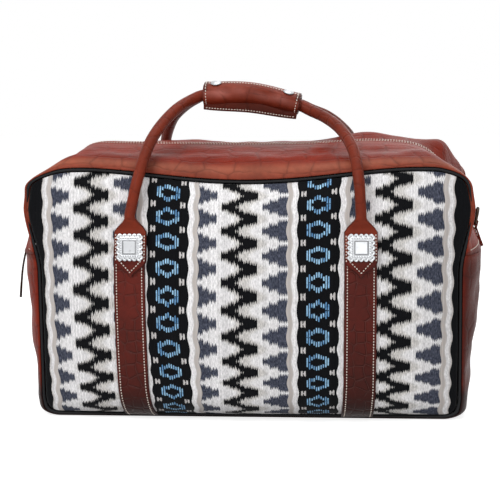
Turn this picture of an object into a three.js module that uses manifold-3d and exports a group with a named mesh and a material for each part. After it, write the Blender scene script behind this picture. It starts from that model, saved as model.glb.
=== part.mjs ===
// An overnight bag: two woven panels sewn to a leather gusset, a zip that runs over the top and
// down both ends, a pair of rolled handles held together by a leather wrap, and a ring on each end
// for a shoulder strap.
// Millimetres, +Z up. X runs along the bag, -Y is the front, and the bag stands on z = 0.

import * as THREE from "three";
import { mergeVertices } from "three/addons/utils/BufferGeometryUtils.js";
import Module from "manifold-3d";

const wasm = await Module();
wasm.setup();

// Clearance between pieces that touch on the real bag, and what a flat seat adds on a curved face
const FIT = 0.3;
const SEAT = 0.6;

// Seam round each woven panel, seen from the front
const SEAM_HALF_LENGTH = 247;
const SEAM_TOP = 281;
const SEAM_BOTTOM = 4;
const SEAM_TOP_RADIUS = 46;
const SEAM_BOTTOM_RADIUS = 22;
const SEAM_HALF_DEPTH_TOP = 100;
const SEAM_HALF_DEPTH_BOTTOM = 84;
const PIPING_RADIUS = 2;
const WAIST = 13;
const WAIST_TOP = 240;
const WAIST_FULL = 165;

// Crest of the gusset, half way between the two panels
const CREST_END_RISE = 12.5;
const CREST_TOP_RISE = 26;
const CREST_TOP_RADIUS = 36;
const CREST_LEAN = THREE.MathUtils.degToRad(22);
const CREST_BOTTOM_RADIUS = 26;
const CROWN_POWER = 2.5;
const CROWN_ROUNDING = 0.625;
const CROWN_FLAT_TOP = 0.12;
const CROWN_FLAT_BASE = 0.6;
const BASE_HOLLOW = 0.2;
const BASE_FLAT_STRIP = 12;
const GUSSET_THICKNESS = 2.2;
const JOIN_HEIGHT = 186;
const TOP_SAG = 14;
const RIDGE_STIFFNESS = 0.85;
const END_TUCK = 15;
const TUCK_FULL = 20;
const SAG_START = 60;

// Woven panel: half depths of its middle line at the fold, the belly and the brow
const PANEL_THICKNESS = 4;
const FOLD_HALF_DEPTH = 126;
const FOLD_HEIGHT = 41;
const BELLY_HALF_DEPTH = 136;
const BROW_HALF_DEPTH = 120;
const PILLOW_POWER = 2.6;

// Zip
const ZIP_OPENING = 8;
const ZIP_TAPE_EDGE = 14;
const ZIP_TAPE_THICKNESS = 0.8;
const ZIP_TOOTH_INNER = 0.6;
const ZIP_TOOTH_OUTER = 3.2;
const ZIP_TOOTH_TOP = -0.4;
const ZIP_TOOTH_BOTTOM = -4.2;
const ZIP_START = 2.6;
const ZIP_STOP_LENGTH = 3;
const SLIDER_LENGTH = 15;
const SLIDER_WIDTH = 10;
const SLIDER_PLATE = 1.6;
const SLIDER_RIDE = 0.9;
const SLIDER_UNDER_RIDE = 1.4;
const SLIDER_WEB = 0.6;
const SLIDER_HEIGHT = 64;
const BAIL_POST = 1.2;
const BAIL_WIDTH = 2.4;
const BAIL_SPAN = 5.8;
const BAIL_CLEAR = 3.2;
const BAIL_BAR = 1;
const PULL_LENGTH = 20;
const PULL_WIDTH = 7;
const PULL_THICKNESS = 1.4;
const PULL_CROSSBAR = 1.6;
const PULL_WINDOW_WIDTH = 3.8;
const PULL_WINDOW_LENGTH = 8;
const PULL_DROP = 1.5;
const LACE_RADIUS = 1.5;

// Straps, handles and wrap
const STRAP_SPACING = 250;
const STRAP_SLANT = 5;
const STRAP_WIDTH = 35;
const STRAP_THICKNESS = 2.4;
const STRAP_FOOT = 0.15;
const STRAP_HEAD = 0.94;
const TAB_THICKNESS = 4;
const TAB_TIP = 0.655;
const TAB_POINT = 0.745;
const TAB_SHOULDER = 0.915;
const TAB_TIP_WIDTH = 4;
const TAB_FLATNESS = 6;
const HANDLE_RADIUS = 7;
const WRAP_LEFT = -56;
const WRAP_RIGHT = 53;
const WRAP_SLACK = 2.2;
const WRAP_WALL = 3.4;
const WRAP_ROUNDING = 2.5;
const WRAP_BORE_ROUNDING = 4;
const WRAP_LIP_DEPTH = 6;
const WRAP_LIP_THICKNESS = 4;
const FLAP_THICKNESS = 2.2;
const FLAP_FRONT = THREE.MathUtils.degToRad(165);
const FLAP_BACK = THREE.MathUtils.degToRad(62);
const FLAP_INSET = 1;
const SNAP_RADIUS = 6.3;
const SNAP_HEIGHT = 2.4;
const SNAP_INSET = 15;
const SNAP_ANGLE = THREE.MathUtils.degToRad(112);

// Conchos and their screws
const CONCHO_SIDE = 30;
const CONCHO_THICKNESS = 1.8;
const CONCHO_SCALLOPS = 5;
const CONCHO_SCALLOP_DEPTH = 1.4;
const CONCHO_PLATEAU = 13;
const CONCHO_PLATEAU_RISE = 1.2;
const CONCHO_ROW = 0.82;
const POST_RADIUS = 2.2;
const POST_BORE = 1.4;
const SCREW_RADIUS = 1.1;
const SCREW_HEAD_RADIUS = 4.5;
const SCREW_HEAD_THICKNESS = 1.6;

// Rings for a shoulder strap
const RING_INNER_WIDTH = 22;
const RING_HEIGHT = 16;
const RING_WIRE_RADIUS = 1.8;
const RING_LEAN = THREE.MathUtils.degToRad(35);
const LEFT_RING_HEIGHT = 17;
const RIGHT_RING_HEIGHT = 28;
const RING_TAB_WIDTH = 20;
const RING_TAB_THICKNESS = 4;
const RING_TAB_EYE = 2.2;
const RING_TAB_WALL = 2;

// Inside
const BOARD_END_GAP = 29;
const BOARD_DEPTH = 146;
const BOARD_THICKNESS = 3;
const LINING_THICKNESS = 1;
const LINING_ROUNDING = 2.5;
const LINING_END_GAP = 11;
const LINING_SIDE_GAP = 16;
const LINING_CURL = 12;
const LINING_MOUTH_DROP = 32;

// Faces along each stretch of the body
const END_STEPS = 3;
const TOP_CORNER_STEPS = 7;
const TOP_STEPS = 8;
const BOTTOM_CORNER_STEPS = 4;
const BASE_STEPS = 4;
const CROWN_STEPS = 6;
const PANEL_COLUMNS = 14;
const FOLD_STEPS = 5;
const BELLY_STEPS = 8;
const BROW_STEPS = 5;

const { lerp, clamp, smoothstep } = THREE.MathUtils;
const vec = (x, y, z) => new THREE.Vector3(x, y, z);

// Merges shared corners and turns every face outwards.
function closed(geometry) {
  const bare = geometry.clone();
  bare.deleteAttribute("normal");
  bare.deleteAttribute("uv");
  const merged = mergeVertices(bare, 1e-4);
  const position = merged.getAttribute("position");
  const index = merged.index.array;
  const corner = (i) => new THREE.Vector3().fromBufferAttribute(position, index[i]);
  let volume = 0;
  for (let i = 0; i < index.length; i += 3) {
    volume += corner(i).dot(corner(i + 1).cross(corner(i + 2)));
  }
  if (volume < 0) {
    for (let i = 0; i < index.length; i += 3) {
      [index[i + 1], index[i + 2]] = [index[i + 2], index[i + 1]];
    }
  }
  return merged;
}

// Moves every corner of a geometry to where place(corner, its number) says.
function reshape(geometry, place) {
  const position = geometry.getAttribute("position");
  for (let n = 0; n < position.count; n++) {
    const p = place(new THREE.Vector3().fromBufferAttribute(position, n), n);
    position.setXYZ(n, p.x, p.y, p.z);
  }
  return closed(geometry);
}

// A bent sheet: place(i, j, w) for step i along, step j across, and w from 0 inside to 1 outside.
function sheet(along, across, place) {
  const box = new THREE.BoxGeometry(along, across, 1, along, across, 1);
  const count = (value, steps) => Math.round(value + steps / 2);
  return reshape(box, (p) => place(count(p.x, along), count(p.y, across), p.z + 0.5));
}

// A closed loop of a round section: place(i, angle) for step i round the loop.
function loop(around, sides, place) {
  const torus = new THREE.TorusGeometry(2, 1, sides, around);
  return reshape(torus, (p, n) => {
    const step = n % (around + 1);
    const side = Math.floor(n / (around + 1));
    return place(step % around, ((side % sides) / sides) * 2 * Math.PI);
  });
}

// A flat outline carried along a row of stations: place(station, x, y) puts a corner of the outline.
function sweep(outline, stations, place) {
  const steps = stations.length - 1;
  const bar = new THREE.ExtrudeGeometry(outline, { depth: steps, steps, bevelEnabled: false });
  return reshape(bar, (p) => place(stations[Math.round(p.z)], p.x, p.y));
}

// A polygon with its corners on the unit circle.
function roundOutline(sides) {
  const angle = (k) => ((k + 0.5) / sides) * 2 * Math.PI;
  const corners = Array.from({ length: sides }, (_, k) => k);
  return new THREE.Shape(corners.map((k) => new THREE.Vector2(Math.cos(angle(k)), Math.sin(angle(k)))));
}

// A unit circle's point drawn out towards a square: power 2 leaves it round.
function squared(x, y, power) {
  const stretch = (value) => Math.sign(value) * Math.abs(value) ** (2 / power);
  return [stretch(x), stretch(y)];
}

const toSolid = (geometry) => {
  const g = closed(geometry);
  const mesh = { numProp: 3, vertProperties: g.attributes.position.array };
  return new wasm.Manifold(new wasm.Mesh({ ...mesh, triVerts: new Uint32Array(g.index.array) }));
};

function toGeometry(solid) {
  const mesh = solid.getMesh();
  return new THREE.BufferGeometry()
    .setAttribute("position", new THREE.BufferAttribute(new Float32Array(mesh.vertProperties), 3))
    .setIndex(new THREE.BufferAttribute(new Uint32Array(mesh.triVerts), 1));
}

const union = (...geometries) => toGeometry(geometries.map(toSolid).reduce((a, b) => a.add(b)));
const cut = (geometry, ...tools) => {
  return toGeometry(tools.map(toSolid).reduce((a, b) => a.subtract(b), toSolid(geometry)));
};
const mirrorY = (geometry) => closed(geometry.clone().scale(1, -1, 1));

// A block between two corners.
function block(low, high) {
  const size = vec(...high).sub(vec(...low));
  const middle = vec(...low).add(vec(...high)).multiplyScalar(0.5);
  return new THREE.BoxGeometry(size.x, size.y, size.z).translate(middle.x, middle.y, middle.z);
}

// A cylinder along Y.
function rod(radius, length, x, z, sides = 12) {
  return new THREE.CylinderGeometry(radius, radius, length, sides).translate(x, 0, z);
}

// The top of a soft bag hangs lower in the middle, less so along the ridge that the zip stiffens.
function settle(p) {
  const reach = shoulder(crest()).x;
  const along = Math.max(0, 1 - (p.x / reach) ** 2) ** 2;
  const up = clamp((p.z - SAG_START) / (SEAM_TOP - SAG_START), 0, 1) ** 2;
  const ridge = RIDGE_STIFFNESS * smoothstep(p.z, SEAM_TOP, SEAM_TOP + CREST_TOP_RISE);
  return vec(p.x, p.y, p.z - TOP_SAG * along * up * (1 - ridge));
}

// Outlines round the bag, seen from the front

// Below its top corners the seam is drawn in by a waist.
function drawIn(point) {
  const share = 1 - smoothstep(point.y, WAIST_FULL, WAIST_TOP);
  return new THREE.Vector2(point.x - Math.sign(point.x) * WAIST * share, point.y);
}

// Below the join the crest of each end is tucked in towards the base.
function tuckIn(point) {
  const share = 1 - smoothstep(point.y, TUCK_FULL, JOIN_HEIGHT);
  return new THREE.Vector2(point.x - Math.sign(point.x) * END_TUCK * share, point.y);
}

// The seam, moved outwards by a distance.
function seam(outwards) {
  return {
    halfLength: SEAM_HALF_LENGTH + outwards,
    top: SEAM_TOP + outwards,
    bottom: SEAM_BOTTOM - outwards,
    topRadius: SEAM_TOP_RADIUS + outwards,
    bottomRadius: SEAM_BOTTOM_RADIUS + outwards,
    lean: 0,
  };
}

// The crest, moved inwards by a depth. Above the join its ends lean in.
function crest(inwards = 0) {
  return {
    halfLength: SEAM_HALF_LENGTH + CREST_END_RISE - inwards,
    top: SEAM_TOP + CREST_TOP_RISE - inwards,
    bottom: inwards,
    topRadius: CREST_TOP_RADIUS - inwards,
    bottomRadius: CREST_BOTTOM_RADIUS - inwards,
    lean: CREST_LEAN,
  };
}

const line = (x0, z0, x1, z1) => new THREE.LineCurve(new THREE.Vector2(x0, z0), new THREE.Vector2(x1, z1));
const arc = (x, z, r, from, to) => new THREE.EllipseCurve(x, z, r, r, from, to, from > to);

// Centre of the arc between a leaning end and the top, on the right, and the foot and head of that end.
function shoulder({ halfLength, top, topRadius, lean }) {
  const foot = JOIN_HEIGHT + FIT / 2;
  const z = top - topRadius;
  const rise = z + topRadius * Math.sin(lean) - foot;
  const headX = halfLength - rise * Math.tan(lean);
  return { x: headX - topRadius * Math.cos(lean), z, foot, headX, headZ: foot + rise };
}

// The upper part of an outline, from the left join over the top to the right join.
function upperCurves(outline) {
  const { halfLength, top, topRadius, lean } = outline;
  const { x, z, foot, headX, headZ } = shoulder(outline);
  return [
    line(-halfLength, foot, -headX, headZ),
    arc(-x, z, topRadius, Math.PI - lean, Math.PI / 2),
    line(-x, top, x, top),
    arc(x, z, topRadius, Math.PI / 2, lean),
    line(headX, headZ, halfLength, foot),
  ];
}

// The lower part, from the left join under the base to the right join.
function lowerCurves({ halfLength, bottom, bottomRadius }) {
  const x = halfLength - bottomRadius;
  const z = bottom + bottomRadius;
  const start = JOIN_HEIGHT - FIT / 2;
  return [
    line(-halfLength, start, -halfLength, z),
    arc(-x, z, bottomRadius, Math.PI, 1.5 * Math.PI),
    line(-x, bottom, x, bottom),
    arc(x, z, bottomRadius, 1.5 * Math.PI, 2 * Math.PI),
    line(halfLength, z, halfLength, start),
  ];
}

const UPPER_COUNTS = [END_STEPS, TOP_CORNER_STEPS, TOP_STEPS, TOP_CORNER_STEPS, END_STEPS];
const LOWER_COUNTS = [
  2 * END_STEPS, BOTTOM_CORNER_STEPS, BASE_STEPS, BOTTOM_CORNER_STEPS, 2 * END_STEPS,
];

// Points along a row of curves, each split into its count of steps.
function pointsAlong(curves, counts) {
  const points = [curves[0].getPoint(0)];
  curves.forEach((curve, c) => {
    for (let k = 1; k <= counts[c]; k++) points.push(curve.getPoint(k / counts[c]));
  });
  return points;
}

// Half the distance between the two seams at a height.
function seamHalfDepth(z) {
  const share = clamp((z - SEAM_BOTTOM) / (SEAM_TOP - SEAM_BOTTOM), 0, 1);
  return lerp(SEAM_HALF_DEPTH_BOTTOM, SEAM_HALF_DEPTH_TOP, share);
}

// How far the gusset has risen from seam to crest, for q from -1 at the front seam to 1 at the back.
function crown(q, flat) {
  const share = Math.max(0, (Math.abs(q) - flat) / (1 - flat));
  return Math.max(0, 1 - share ** CROWN_POWER) ** CROWN_ROUNDING;
}

const SEAM_GAP = PIPING_RADIUS + SEAT;

// Gusset sheet between a row of seam points and a row of crest points, for the given rows of q.
function gussetSheet(makeCurves, counts, rows, flatAt) {
  const foot = pointsAlong(makeCurves(seam(SEAM_GAP)), counts).map(drawIn);
  const outer = pointsAlong(makeCurves(crest()), counts).map(tuckIn);
  const inner = pointsAlong(makeCurves(crest(GUSSET_THICKNESS)), counts).map(tuckIn);
  return sheet(foot.length - 1, rows.length - 1, (i, j, w) => {
    const rise = crown(rows[j], flatAt(foot[i].y));
    const top = w > 0.5 ? outer[i] : inner[i];
    const depth = seamHalfDepth(foot[i].y) - (w > 0.5 ? 0 : GUSSET_THICKNESS);
    const x = lerp(foot[i].x, top.x, rise);
    const z = lerp(foot[i].y, top.y, rise);
    return settle(vec(x, depth * rows[j], z));
  });
}

// Rows of q from the seam to an inner edge, closer together where the leather turns.
function crownRows(inner, steps) {
  const EDGE_CROWDING = 1.8;
  return Array.from({ length: steps + 1 }, (_, k) => -1 + (1 - inner) * (k / steps) ** EDGE_CROWDING);
}

function topGusset() {
  const rows = crownRows(ZIP_OPENING / SEAM_HALF_DEPTH_TOP, CROWN_STEPS);
  return gussetSheet(upperCurves, UPPER_COUNTS, rows, () => CROWN_FLAT_TOP);
}

function baseGusset() {
  const half = crownRows(CROWN_FLAT_TOP, CROWN_STEPS - 1);
  const rows = [...half, ...half.map((q) => -q).reverse()];
  const flatAt = (z) => lerp(CROWN_FLAT_BASE, CROWN_FLAT_TOP, smoothstep(z, SEAM_BOTTOM, JOIN_HEIGHT));
  return reshape(gussetSheet(lowerCurves, LOWER_COUNTS, rows, flatAt), hollowed);
}

// The base is hollow by a hair outside its flat middle strip, so that the bag stands on its corners.
function hollowed(p) {
  if (p.z > BASE_HOLLOW) return p;
  const { halfLength, bottomRadius } = crest();
  const along = p.x / (halfLength - bottomRadius - END_TUCK);
  const edge = CROWN_FLAT_BASE * SEAM_HALF_DEPTH_BOTTOM;
  const across = clamp((Math.abs(p.y) - BASE_FLAT_STRIP) / (edge - BASE_FLAT_STRIP), 0, 1);
  return vec(p.x, p.y, p.z + BASE_HOLLOW * (1 - Math.min(1, (along * across) ** 2)));
}

// Woven panel

// Its edge and its middle line, each in three legs: the fold under, the belly and the brow.
const panelEdge = (() => {
  const { halfLength, top, bottom, topRadius, bottomRadius } = seam(-SEAM_GAP);
  const foot = bottom + bottomRadius;
  const shoulder = top - topRadius;
  return [
    arc(halfLength - bottomRadius, foot, bottomRadius, -Math.PI / 2, 0),
    line(halfLength, foot, halfLength, shoulder),
    arc(halfLength - topRadius, shoulder, topRadius, 0, Math.PI / 2),
  ];
})();

const panelMiddle = (() => {
  const { top, bottom, topRadius } = seam(-SEAM_GAP);
  const point = (y, z) => new THREE.Vector2(y, z);
  const foot = point(FOLD_HALF_DEPTH, bottom + FOLD_HEIGHT);
  const shoulder = point(BROW_HALF_DEPTH, top - topRadius);
  const height = shoulder.y - foot.y;
  const swell = point(BELLY_HALF_DEPTH, foot.y + 0.3 * height);
  const ease = point(BELLY_HALF_DEPTH, foot.y + 0.65 * height);
  const brow = shoulder.clone().add(shoulder.clone().sub(ease).multiplyScalar(0.4));
  return [
    new THREE.EllipseCurve(
      SEAM_HALF_DEPTH_BOTTOM, foot.y, FOLD_HALF_DEPTH - SEAM_HALF_DEPTH_BOTTOM, FOLD_HEIGHT, -Math.PI / 2, 0,
    ),
    new THREE.CubicBezierCurve(foot, swell, ease, shoulder),
    new THREE.QuadraticBezierCurve(shoulder, brow, point(SEAM_HALF_DEPTH_TOP, top)),
  ];
})();

// A row across the panel: leg + share, so 1.5 is half way up the belly.
function panelRow(row) {
  const leg = clamp(Math.floor(row), 0, 2);
  const edge = drawIn(panelEdge[leg].getPoint(row - leg));
  const middle = panelMiddle[leg].getPoint(row - leg);
  return { edge, middle };
}

// A point of the panel's face before it settles, at an x from the middle.
function panelFace(x, row) {
  const { edge, middle } = panelRow(row);
  const pillow = 1 - Math.min(1, Math.abs(x / edge.x)) ** PILLOW_POWER;
  return vec(x, -lerp(seamHalfDepth(edge.y), middle.x, pillow), lerp(edge.y, middle.y, pillow));
}

function panelNormal(x, row) {
  const STEP = 1e-3;
  const low = clamp(row - STEP, 0, 3 - STEP);
  const high = clamp(row + STEP, STEP, 3);
  const across = panelFace(x + STEP, row).sub(panelFace(x - STEP, row));
  const up = panelFace(x, high).sub(panelFace(x, low));
  return across.cross(up).normalize();
}

// A point at a height above the panel's face.
function onPanel(x, row, height) {
  return settle(panelFace(x, row).addScaledVector(panelNormal(x, row), height));
}

const PANEL_ROWS = [
  ...Array.from({ length: FOLD_STEPS }, (_, k) => k / FOLD_STEPS),
  ...Array.from({ length: BELLY_STEPS }, (_, k) => 1 + k / BELLY_STEPS),
  ...Array.from({ length: BROW_STEPS + 1 }, (_, k) => 2 + k / BROW_STEPS),
];

function panel() {
  const EDGE = 0.9995;
  return sheet(PANEL_COLUMNS, PANEL_ROWS.length - 1, (i, j, w) => {
    const share = (2 * i) / PANEL_COLUMNS - 1;
    const x = share * panelRow(PANEL_ROWS[j]).edge.x * EDGE;
    return onPanel(x, PANEL_ROWS[j], (w - 1) * PANEL_THICKNESS);
  });
}

function piping() {
  const upper = pointsAlong(upperCurves(seam(0)), UPPER_COUNTS);
  const lower = pointsAlong(lowerCurves(seam(0)), LOWER_COUNTS).reverse();
  const centre = [...upper, ...lower].map(drawIn);
  const SIDES = 6;
  return loop(centre.length, SIDES, (i, angle) => {
    const before = centre[(i + centre.length - 1) % centre.length];
    const after = centre[(i + 1) % centre.length];
    const outward = new THREE.Vector2(before.y - after.y, after.x - before.x).normalize();
    const out = PIPING_RADIUS * Math.cos(angle);
    const y = -seamHalfDepth(centre[i].y) + PIPING_RADIUS * (0.5 + Math.sin(angle));
    return settle(vec(centre[i].x + outward.x * out, y, centre[i].y + outward.y * out));
  });
}

// Zip

// Stations along the crest of the zip with the way out of the bag at each. Both ends start at an inset.
function crestStations(inset) {
  const curves = upperCurves(crest());
  const share = inset / curves[0].getLength();
  const first = curves[0].getPoint(share);
  const last = curves[4].getPoint(1 - share);
  curves[0] = new THREE.LineCurve(first, curves[0].v2);
  curves[4] = new THREE.LineCurve(curves[4].v1, last);
  const points = pointsAlong(curves, UPPER_COUNTS);
  return points.map((point, i) => {
    const before = points[Math.max(0, i - 1)];
    const after = points[Math.min(points.length - 1, i + 1)];
    return { point, out: new THREE.Vector2(before.y - after.y, after.x - before.x).normalize() };
  });
}

const onCrest = ({ point, out }, y, height) => {
  return settle(vec(point.x + out.x * height, y, point.y + out.y * height));
};

const ZIP_TAPE_TOP = -GUSSET_THICKNESS - FIT;

// One tape with its row of teeth, on the front side.
function zipperHalf() {
  const tapeBottom = ZIP_TAPE_TOP - ZIP_TAPE_THICKNESS;
  const outline = new THREE.Shape(
    [
      [ZIP_TOOTH_INNER, ZIP_TOOTH_TOP], [ZIP_TOOTH_OUTER, ZIP_TOOTH_TOP], [ZIP_TOOTH_OUTER, ZIP_TAPE_TOP],
      [ZIP_TAPE_EDGE, ZIP_TAPE_TOP], [ZIP_TAPE_EDGE, tapeBottom], [ZIP_TOOTH_OUTER, tapeBottom],
      [ZIP_TOOTH_OUTER, ZIP_TOOTH_BOTTOM], [ZIP_TOOTH_INNER, ZIP_TOOTH_BOTTOM],
    ].map(([y, height]) => new THREE.Vector2(y, height)),
  );
  const inset = ZIP_START + ZIP_STOP_LENGTH + FIT;
  return sweep(outline, crestStations(inset), (station, y, height) => onCrest(station, -y, height));
}

// Pieces on the leaning left end are placed from the join: local x runs up the zip and z points out.
const endTurn = CREST_LEAN - Math.PI / 2;
const endFoot = vec(-crest().halfLength, 0, JOIN_HEIGHT);
const upEnd = vec(Math.sin(CREST_LEAN), 0, Math.cos(CREST_LEAN));

// A staple across both tapes at the end of the zip.
function zipperStop() {
  return block(
    [ZIP_START, -ZIP_TOOTH_OUTER, ZIP_TOOTH_BOTTOM],
    [ZIP_START + ZIP_STOP_LENGTH, ZIP_TOOTH_OUTER, ZIP_TOOTH_TOP],
  );
}

const plateBottom = ZIP_TOOTH_TOP + SLIDER_RIDE;
const plateTop = plateBottom + SLIDER_PLATE;

function zipperSlider() {
  const underTop = ZIP_TOOTH_BOTTOM - SLIDER_UNDER_RIDE;
  const half = SLIDER_LENGTH / 2;
  const side = SLIDER_WIDTH / 2;
  const bail = BAIL_WIDTH / 2;
  const post = BAIL_SPAN / 2;
  const barTop = plateTop + BAIL_CLEAR + BAIL_BAR;
  return union(
    block([-half, -side, plateBottom], [half, side, plateTop]),
    block([-half, -side, underTop - SLIDER_PLATE], [half, side, underTop]),
    block([0, -SLIDER_WEB / 2, underTop - FIT], [half, SLIDER_WEB / 2, plateBottom + FIT]),
    block([-post - BAIL_POST, -bail, plateTop - FIT], [-post, bail, barTop]),
    block([post, -bail, plateTop - FIT], [post + BAIL_POST, bail, barTop]),
    block([-post - FIT, -bail, plateTop + BAIL_CLEAR], [post + FIT, bail, barTop]),
  );
}

// The pull hangs from the bail by its crossbar, which is its hinge. Its place is local to the slider.
const pullHinge = vec(-PULL_DROP, 0, plateTop + BAIL_CLEAR / 2);

function zipperPull() {
  const half = PULL_THICKNESS / 2;
  const top = PULL_CROSSBAR / 2;
  const side = PULL_WINDOW_WIDTH / 2;
  const plate = block([top - PULL_LENGTH, -PULL_WIDTH / 2, -half], [top, PULL_WIDTH / 2, half]);
  const window = block([-top - PULL_WINDOW_LENGTH, -side, -2 * half], [-top, side, 2 * half]);
  return cut(plate, window);
}

// The lace falls to the front of the ring and flicks outwards at its end.
const LACE_ROUTE = [
  [-247.2, 0, 226], [-247.5, -1.9, 224], [-248.2, -6.5, 221.2], [-249.7, -11.2, 217.5], [-251.9, -15, 212.4],
  [-254.7, -17.4, 205.6], [-257.8, -18.6, 198.2], [-261.5, -19.3, 190], [-265.2, -19.8, 180.4],
  [-267.8, -20.2, 169.6], [-269.7, -20.6, 158], [-270.9, -21, 146], [-271.7, -21.4, 136],
  [-272.3, -21.8, 127],
].map((p) => vec(...p));

function pullLace() {
  const curve = new THREE.CatmullRomCurve3(LACE_ROUTE);
  const STEPS = 20;
  const SIDES = 8;
  const stations = curve.getSpacedPoints(STEPS).map((point, k) => {
    const tangent = curve.getTangentAt(k / STEPS);
    const side = vec(1, 0, 0).addScaledVector(tangent, -tangent.x).normalize();
    return { point, side, other: tangent.clone().cross(side) };
  });
  return sweep(roundOutline(SIDES), stations, ({ point, side, other }, x, y) => {
    return point.clone().addScaledVector(side, x * LACE_RADIUS).addScaledVector(other, y * LACE_RADIUS);
  });
}

// Straps and handles

const strapX = STRAP_SPACING / 2;
const strapLow = FIT;
const tabLow = strapLow + STRAP_THICKNESS + FIT;
const conchoLow = tabLow + TAB_THICKNESS + FIT;
const CONCHO_LEVEL = 1 + CONCHO_ROW;

// A bore along a line through the stack of leather under a concho.
function conchoBore(x, radius) {
  const out = panelNormal(x, CONCHO_LEVEL);
  const length = 4 * (conchoLow + PANEL_THICKNESS);
  const turn = new THREE.Quaternion().setFromUnitVectors(vec(0, 1, 0), out);
  const place = onPanel(x, CONCHO_LEVEL, 0);
  const SIDES = 10;
  return new THREE.CylinderGeometry(radius, radius, length, SIDES)
    .applyQuaternion(turn)
    .translate(place.x, place.y, place.z);
}

const boresAt = (...xs) => xs.map((x) => conchoBore(x, POST_RADIUS + FIT));

function strap(x) {
  const head = 1 + STRAP_HEAD;
  const inside = PANEL_ROWS.filter((row) => row > STRAP_FOOT && row < head);
  const rows = [STRAP_FOOT, ...inside, head];
  const COLUMNS = 2;
  const flat = sheet(COLUMNS, rows.length - 1, (i, j, w) => {
    const across = (i / COLUMNS - 0.5) * STRAP_WIDTH;
    const down = clamp((CONCHO_LEVEL - rows[j]) / (CONCHO_LEVEL - STRAP_FOOT), 0, 1);
    const slant = Math.sign(x) * STRAP_SLANT * down;
    return onPanel(x - slant + across, rows[j], strapLow + w * STRAP_THICKNESS);
  });
  return cut(flat, ...boresAt(x));
}

// The rolled handle's way from the top of the left tab to the top of the right one, as x, y and the
// rise over the seam.
const HANDLE_ROUTE = [
  [-117, -123, -11], [-104, -90, 29], [-85, -44, 58], [-68, -16, 70], [-56, -10.9, 75],
  [-1.5, -10.3, 76], [53, -10.9, 68.5], [66, -15, 64], [84, -32, 57.5], [103.5, -64, 43.5],
  [117.5, -99, 20], [123.5, -123, -11],
].map(([x, y, rise]) => vec(x, y, SEAM_TOP + rise));

// Stations of the flat tab, from its point up to where the roll leaves the panel.
function tabStations(x) {
  const STEPS = 9;
  const top = 2;
  return Array.from({ length: STEPS + 1 }, (_, k) => {
    const row = lerp(1 + TAB_TIP, top, k / STEPS);
    const roll = smoothstep(row, 1 + TAB_SHOULDER, top);
    const pointed = smoothstep(row, 1 + TAB_TIP, 1 + TAB_POINT);
    const flatWidth = lerp(TAB_TIP_WIDTH, STRAP_WIDTH, pointed) / 2;
    const thickness = lerp(TAB_THICKNESS / 2, HANDLE_RADIUS, roll);
    return {
      point: onPanel(x, row, tabLow + thickness),
      width: lerp(flatWidth, HANDLE_RADIUS, roll),
      thickness,
      power: lerp(TAB_FLATNESS, 2, roll),
      facing: panelNormal(x, row).lerp(vec(0, -1, 0), roll),
    };
  });
}

function handle() {
  const left = tabStations(-strapX);
  const right = tabStations(strapX).reverse();
  const ends = [left[left.length - 1].point, right[0].point];
  const curve = new THREE.CatmullRomCurve3([ends[0], ...HANDLE_ROUTE, ends[1]], false, "centripetal");
  const ROLL_STEPS = 30;
  const roll = curve.getSpacedPoints(ROLL_STEPS).slice(1, -1).map((point) => {
    return { point, width: HANDLE_RADIUS, thickness: HANDLE_RADIUS, power: 2, facing: vec(0, -1, 0) };
  });
  const stations = [...left, ...roll, ...right];
  stations.forEach((station, k) => {
    const before = stations[Math.max(0, k - 1)].point;
    const after = stations[Math.min(stations.length - 1, k + 1)].point;
    const along = after.clone().sub(before).normalize();
    const { facing } = station;
    station.out = facing.clone().addScaledVector(along, -facing.dot(along)).normalize();
    station.side = along.cross(station.out);
  });
  const SIDES = 10;
  const whole = sweep(roundOutline(SIDES), stations, (station, x, y) => {
    const [across, up] = squared(x, y, station.power);
    return station.point
      .clone()
      .addScaledVector(station.side, across * station.width)
      .addScaledVector(station.out, up * station.thickness);
  });
  return cut(whole, ...boresAt(-strapX, strapX));
}

// Wrap round both handles

const wrapCurve = new THREE.CatmullRomCurve3(
  HANDLE_ROUTE.filter((p) => p.x >= WRAP_LEFT && p.x <= WRAP_RIGHT).map((p) => vec(p.x, 0, p.z)),
);
const wrapHalfDepth = Math.max(...HANDLE_ROUTE.filter((p) => p.x >= WRAP_LEFT && p.x <= WRAP_RIGHT)
  .map((p) => -p.y)) + HANDLE_RADIUS + WRAP_SLACK;
const wrapHalfHeight = HANDLE_RADIUS + WRAP_SLACK;
const wrapLength = wrapCurve.getLength();

// Stations along the wrap, from a start to an end measured along it. up is across the wrap.
function wrapStations(start, end, steps) {
  return Array.from({ length: steps + 1 }, (_, k) => {
    const distance = lerp(start, end, k / steps);
    const share = clamp(distance / wrapLength, 0, 1);
    const along = wrapCurve.getTangentAt(share);
    const point = wrapCurve.getPointAt(share).addScaledVector(along, distance - share * wrapLength);
    return { point, up: vec(0, -1, 0).cross(along) };
  });
}

// A point of the wrap's section at an angle from +Y over the top, grown by a thickness.
function wrapSection({ point, up }, angle, grow) {
  const [y, z] = squared(Math.cos(angle), Math.sin(angle), WRAP_ROUNDING);
  const depth = wrapHalfDepth + WRAP_WALL + grow;
  const height = wrapHalfHeight + WRAP_WALL + grow;
  return point.clone().add(vec(0, y * depth, 0)).addScaledVector(up, z * height);
}

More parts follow.
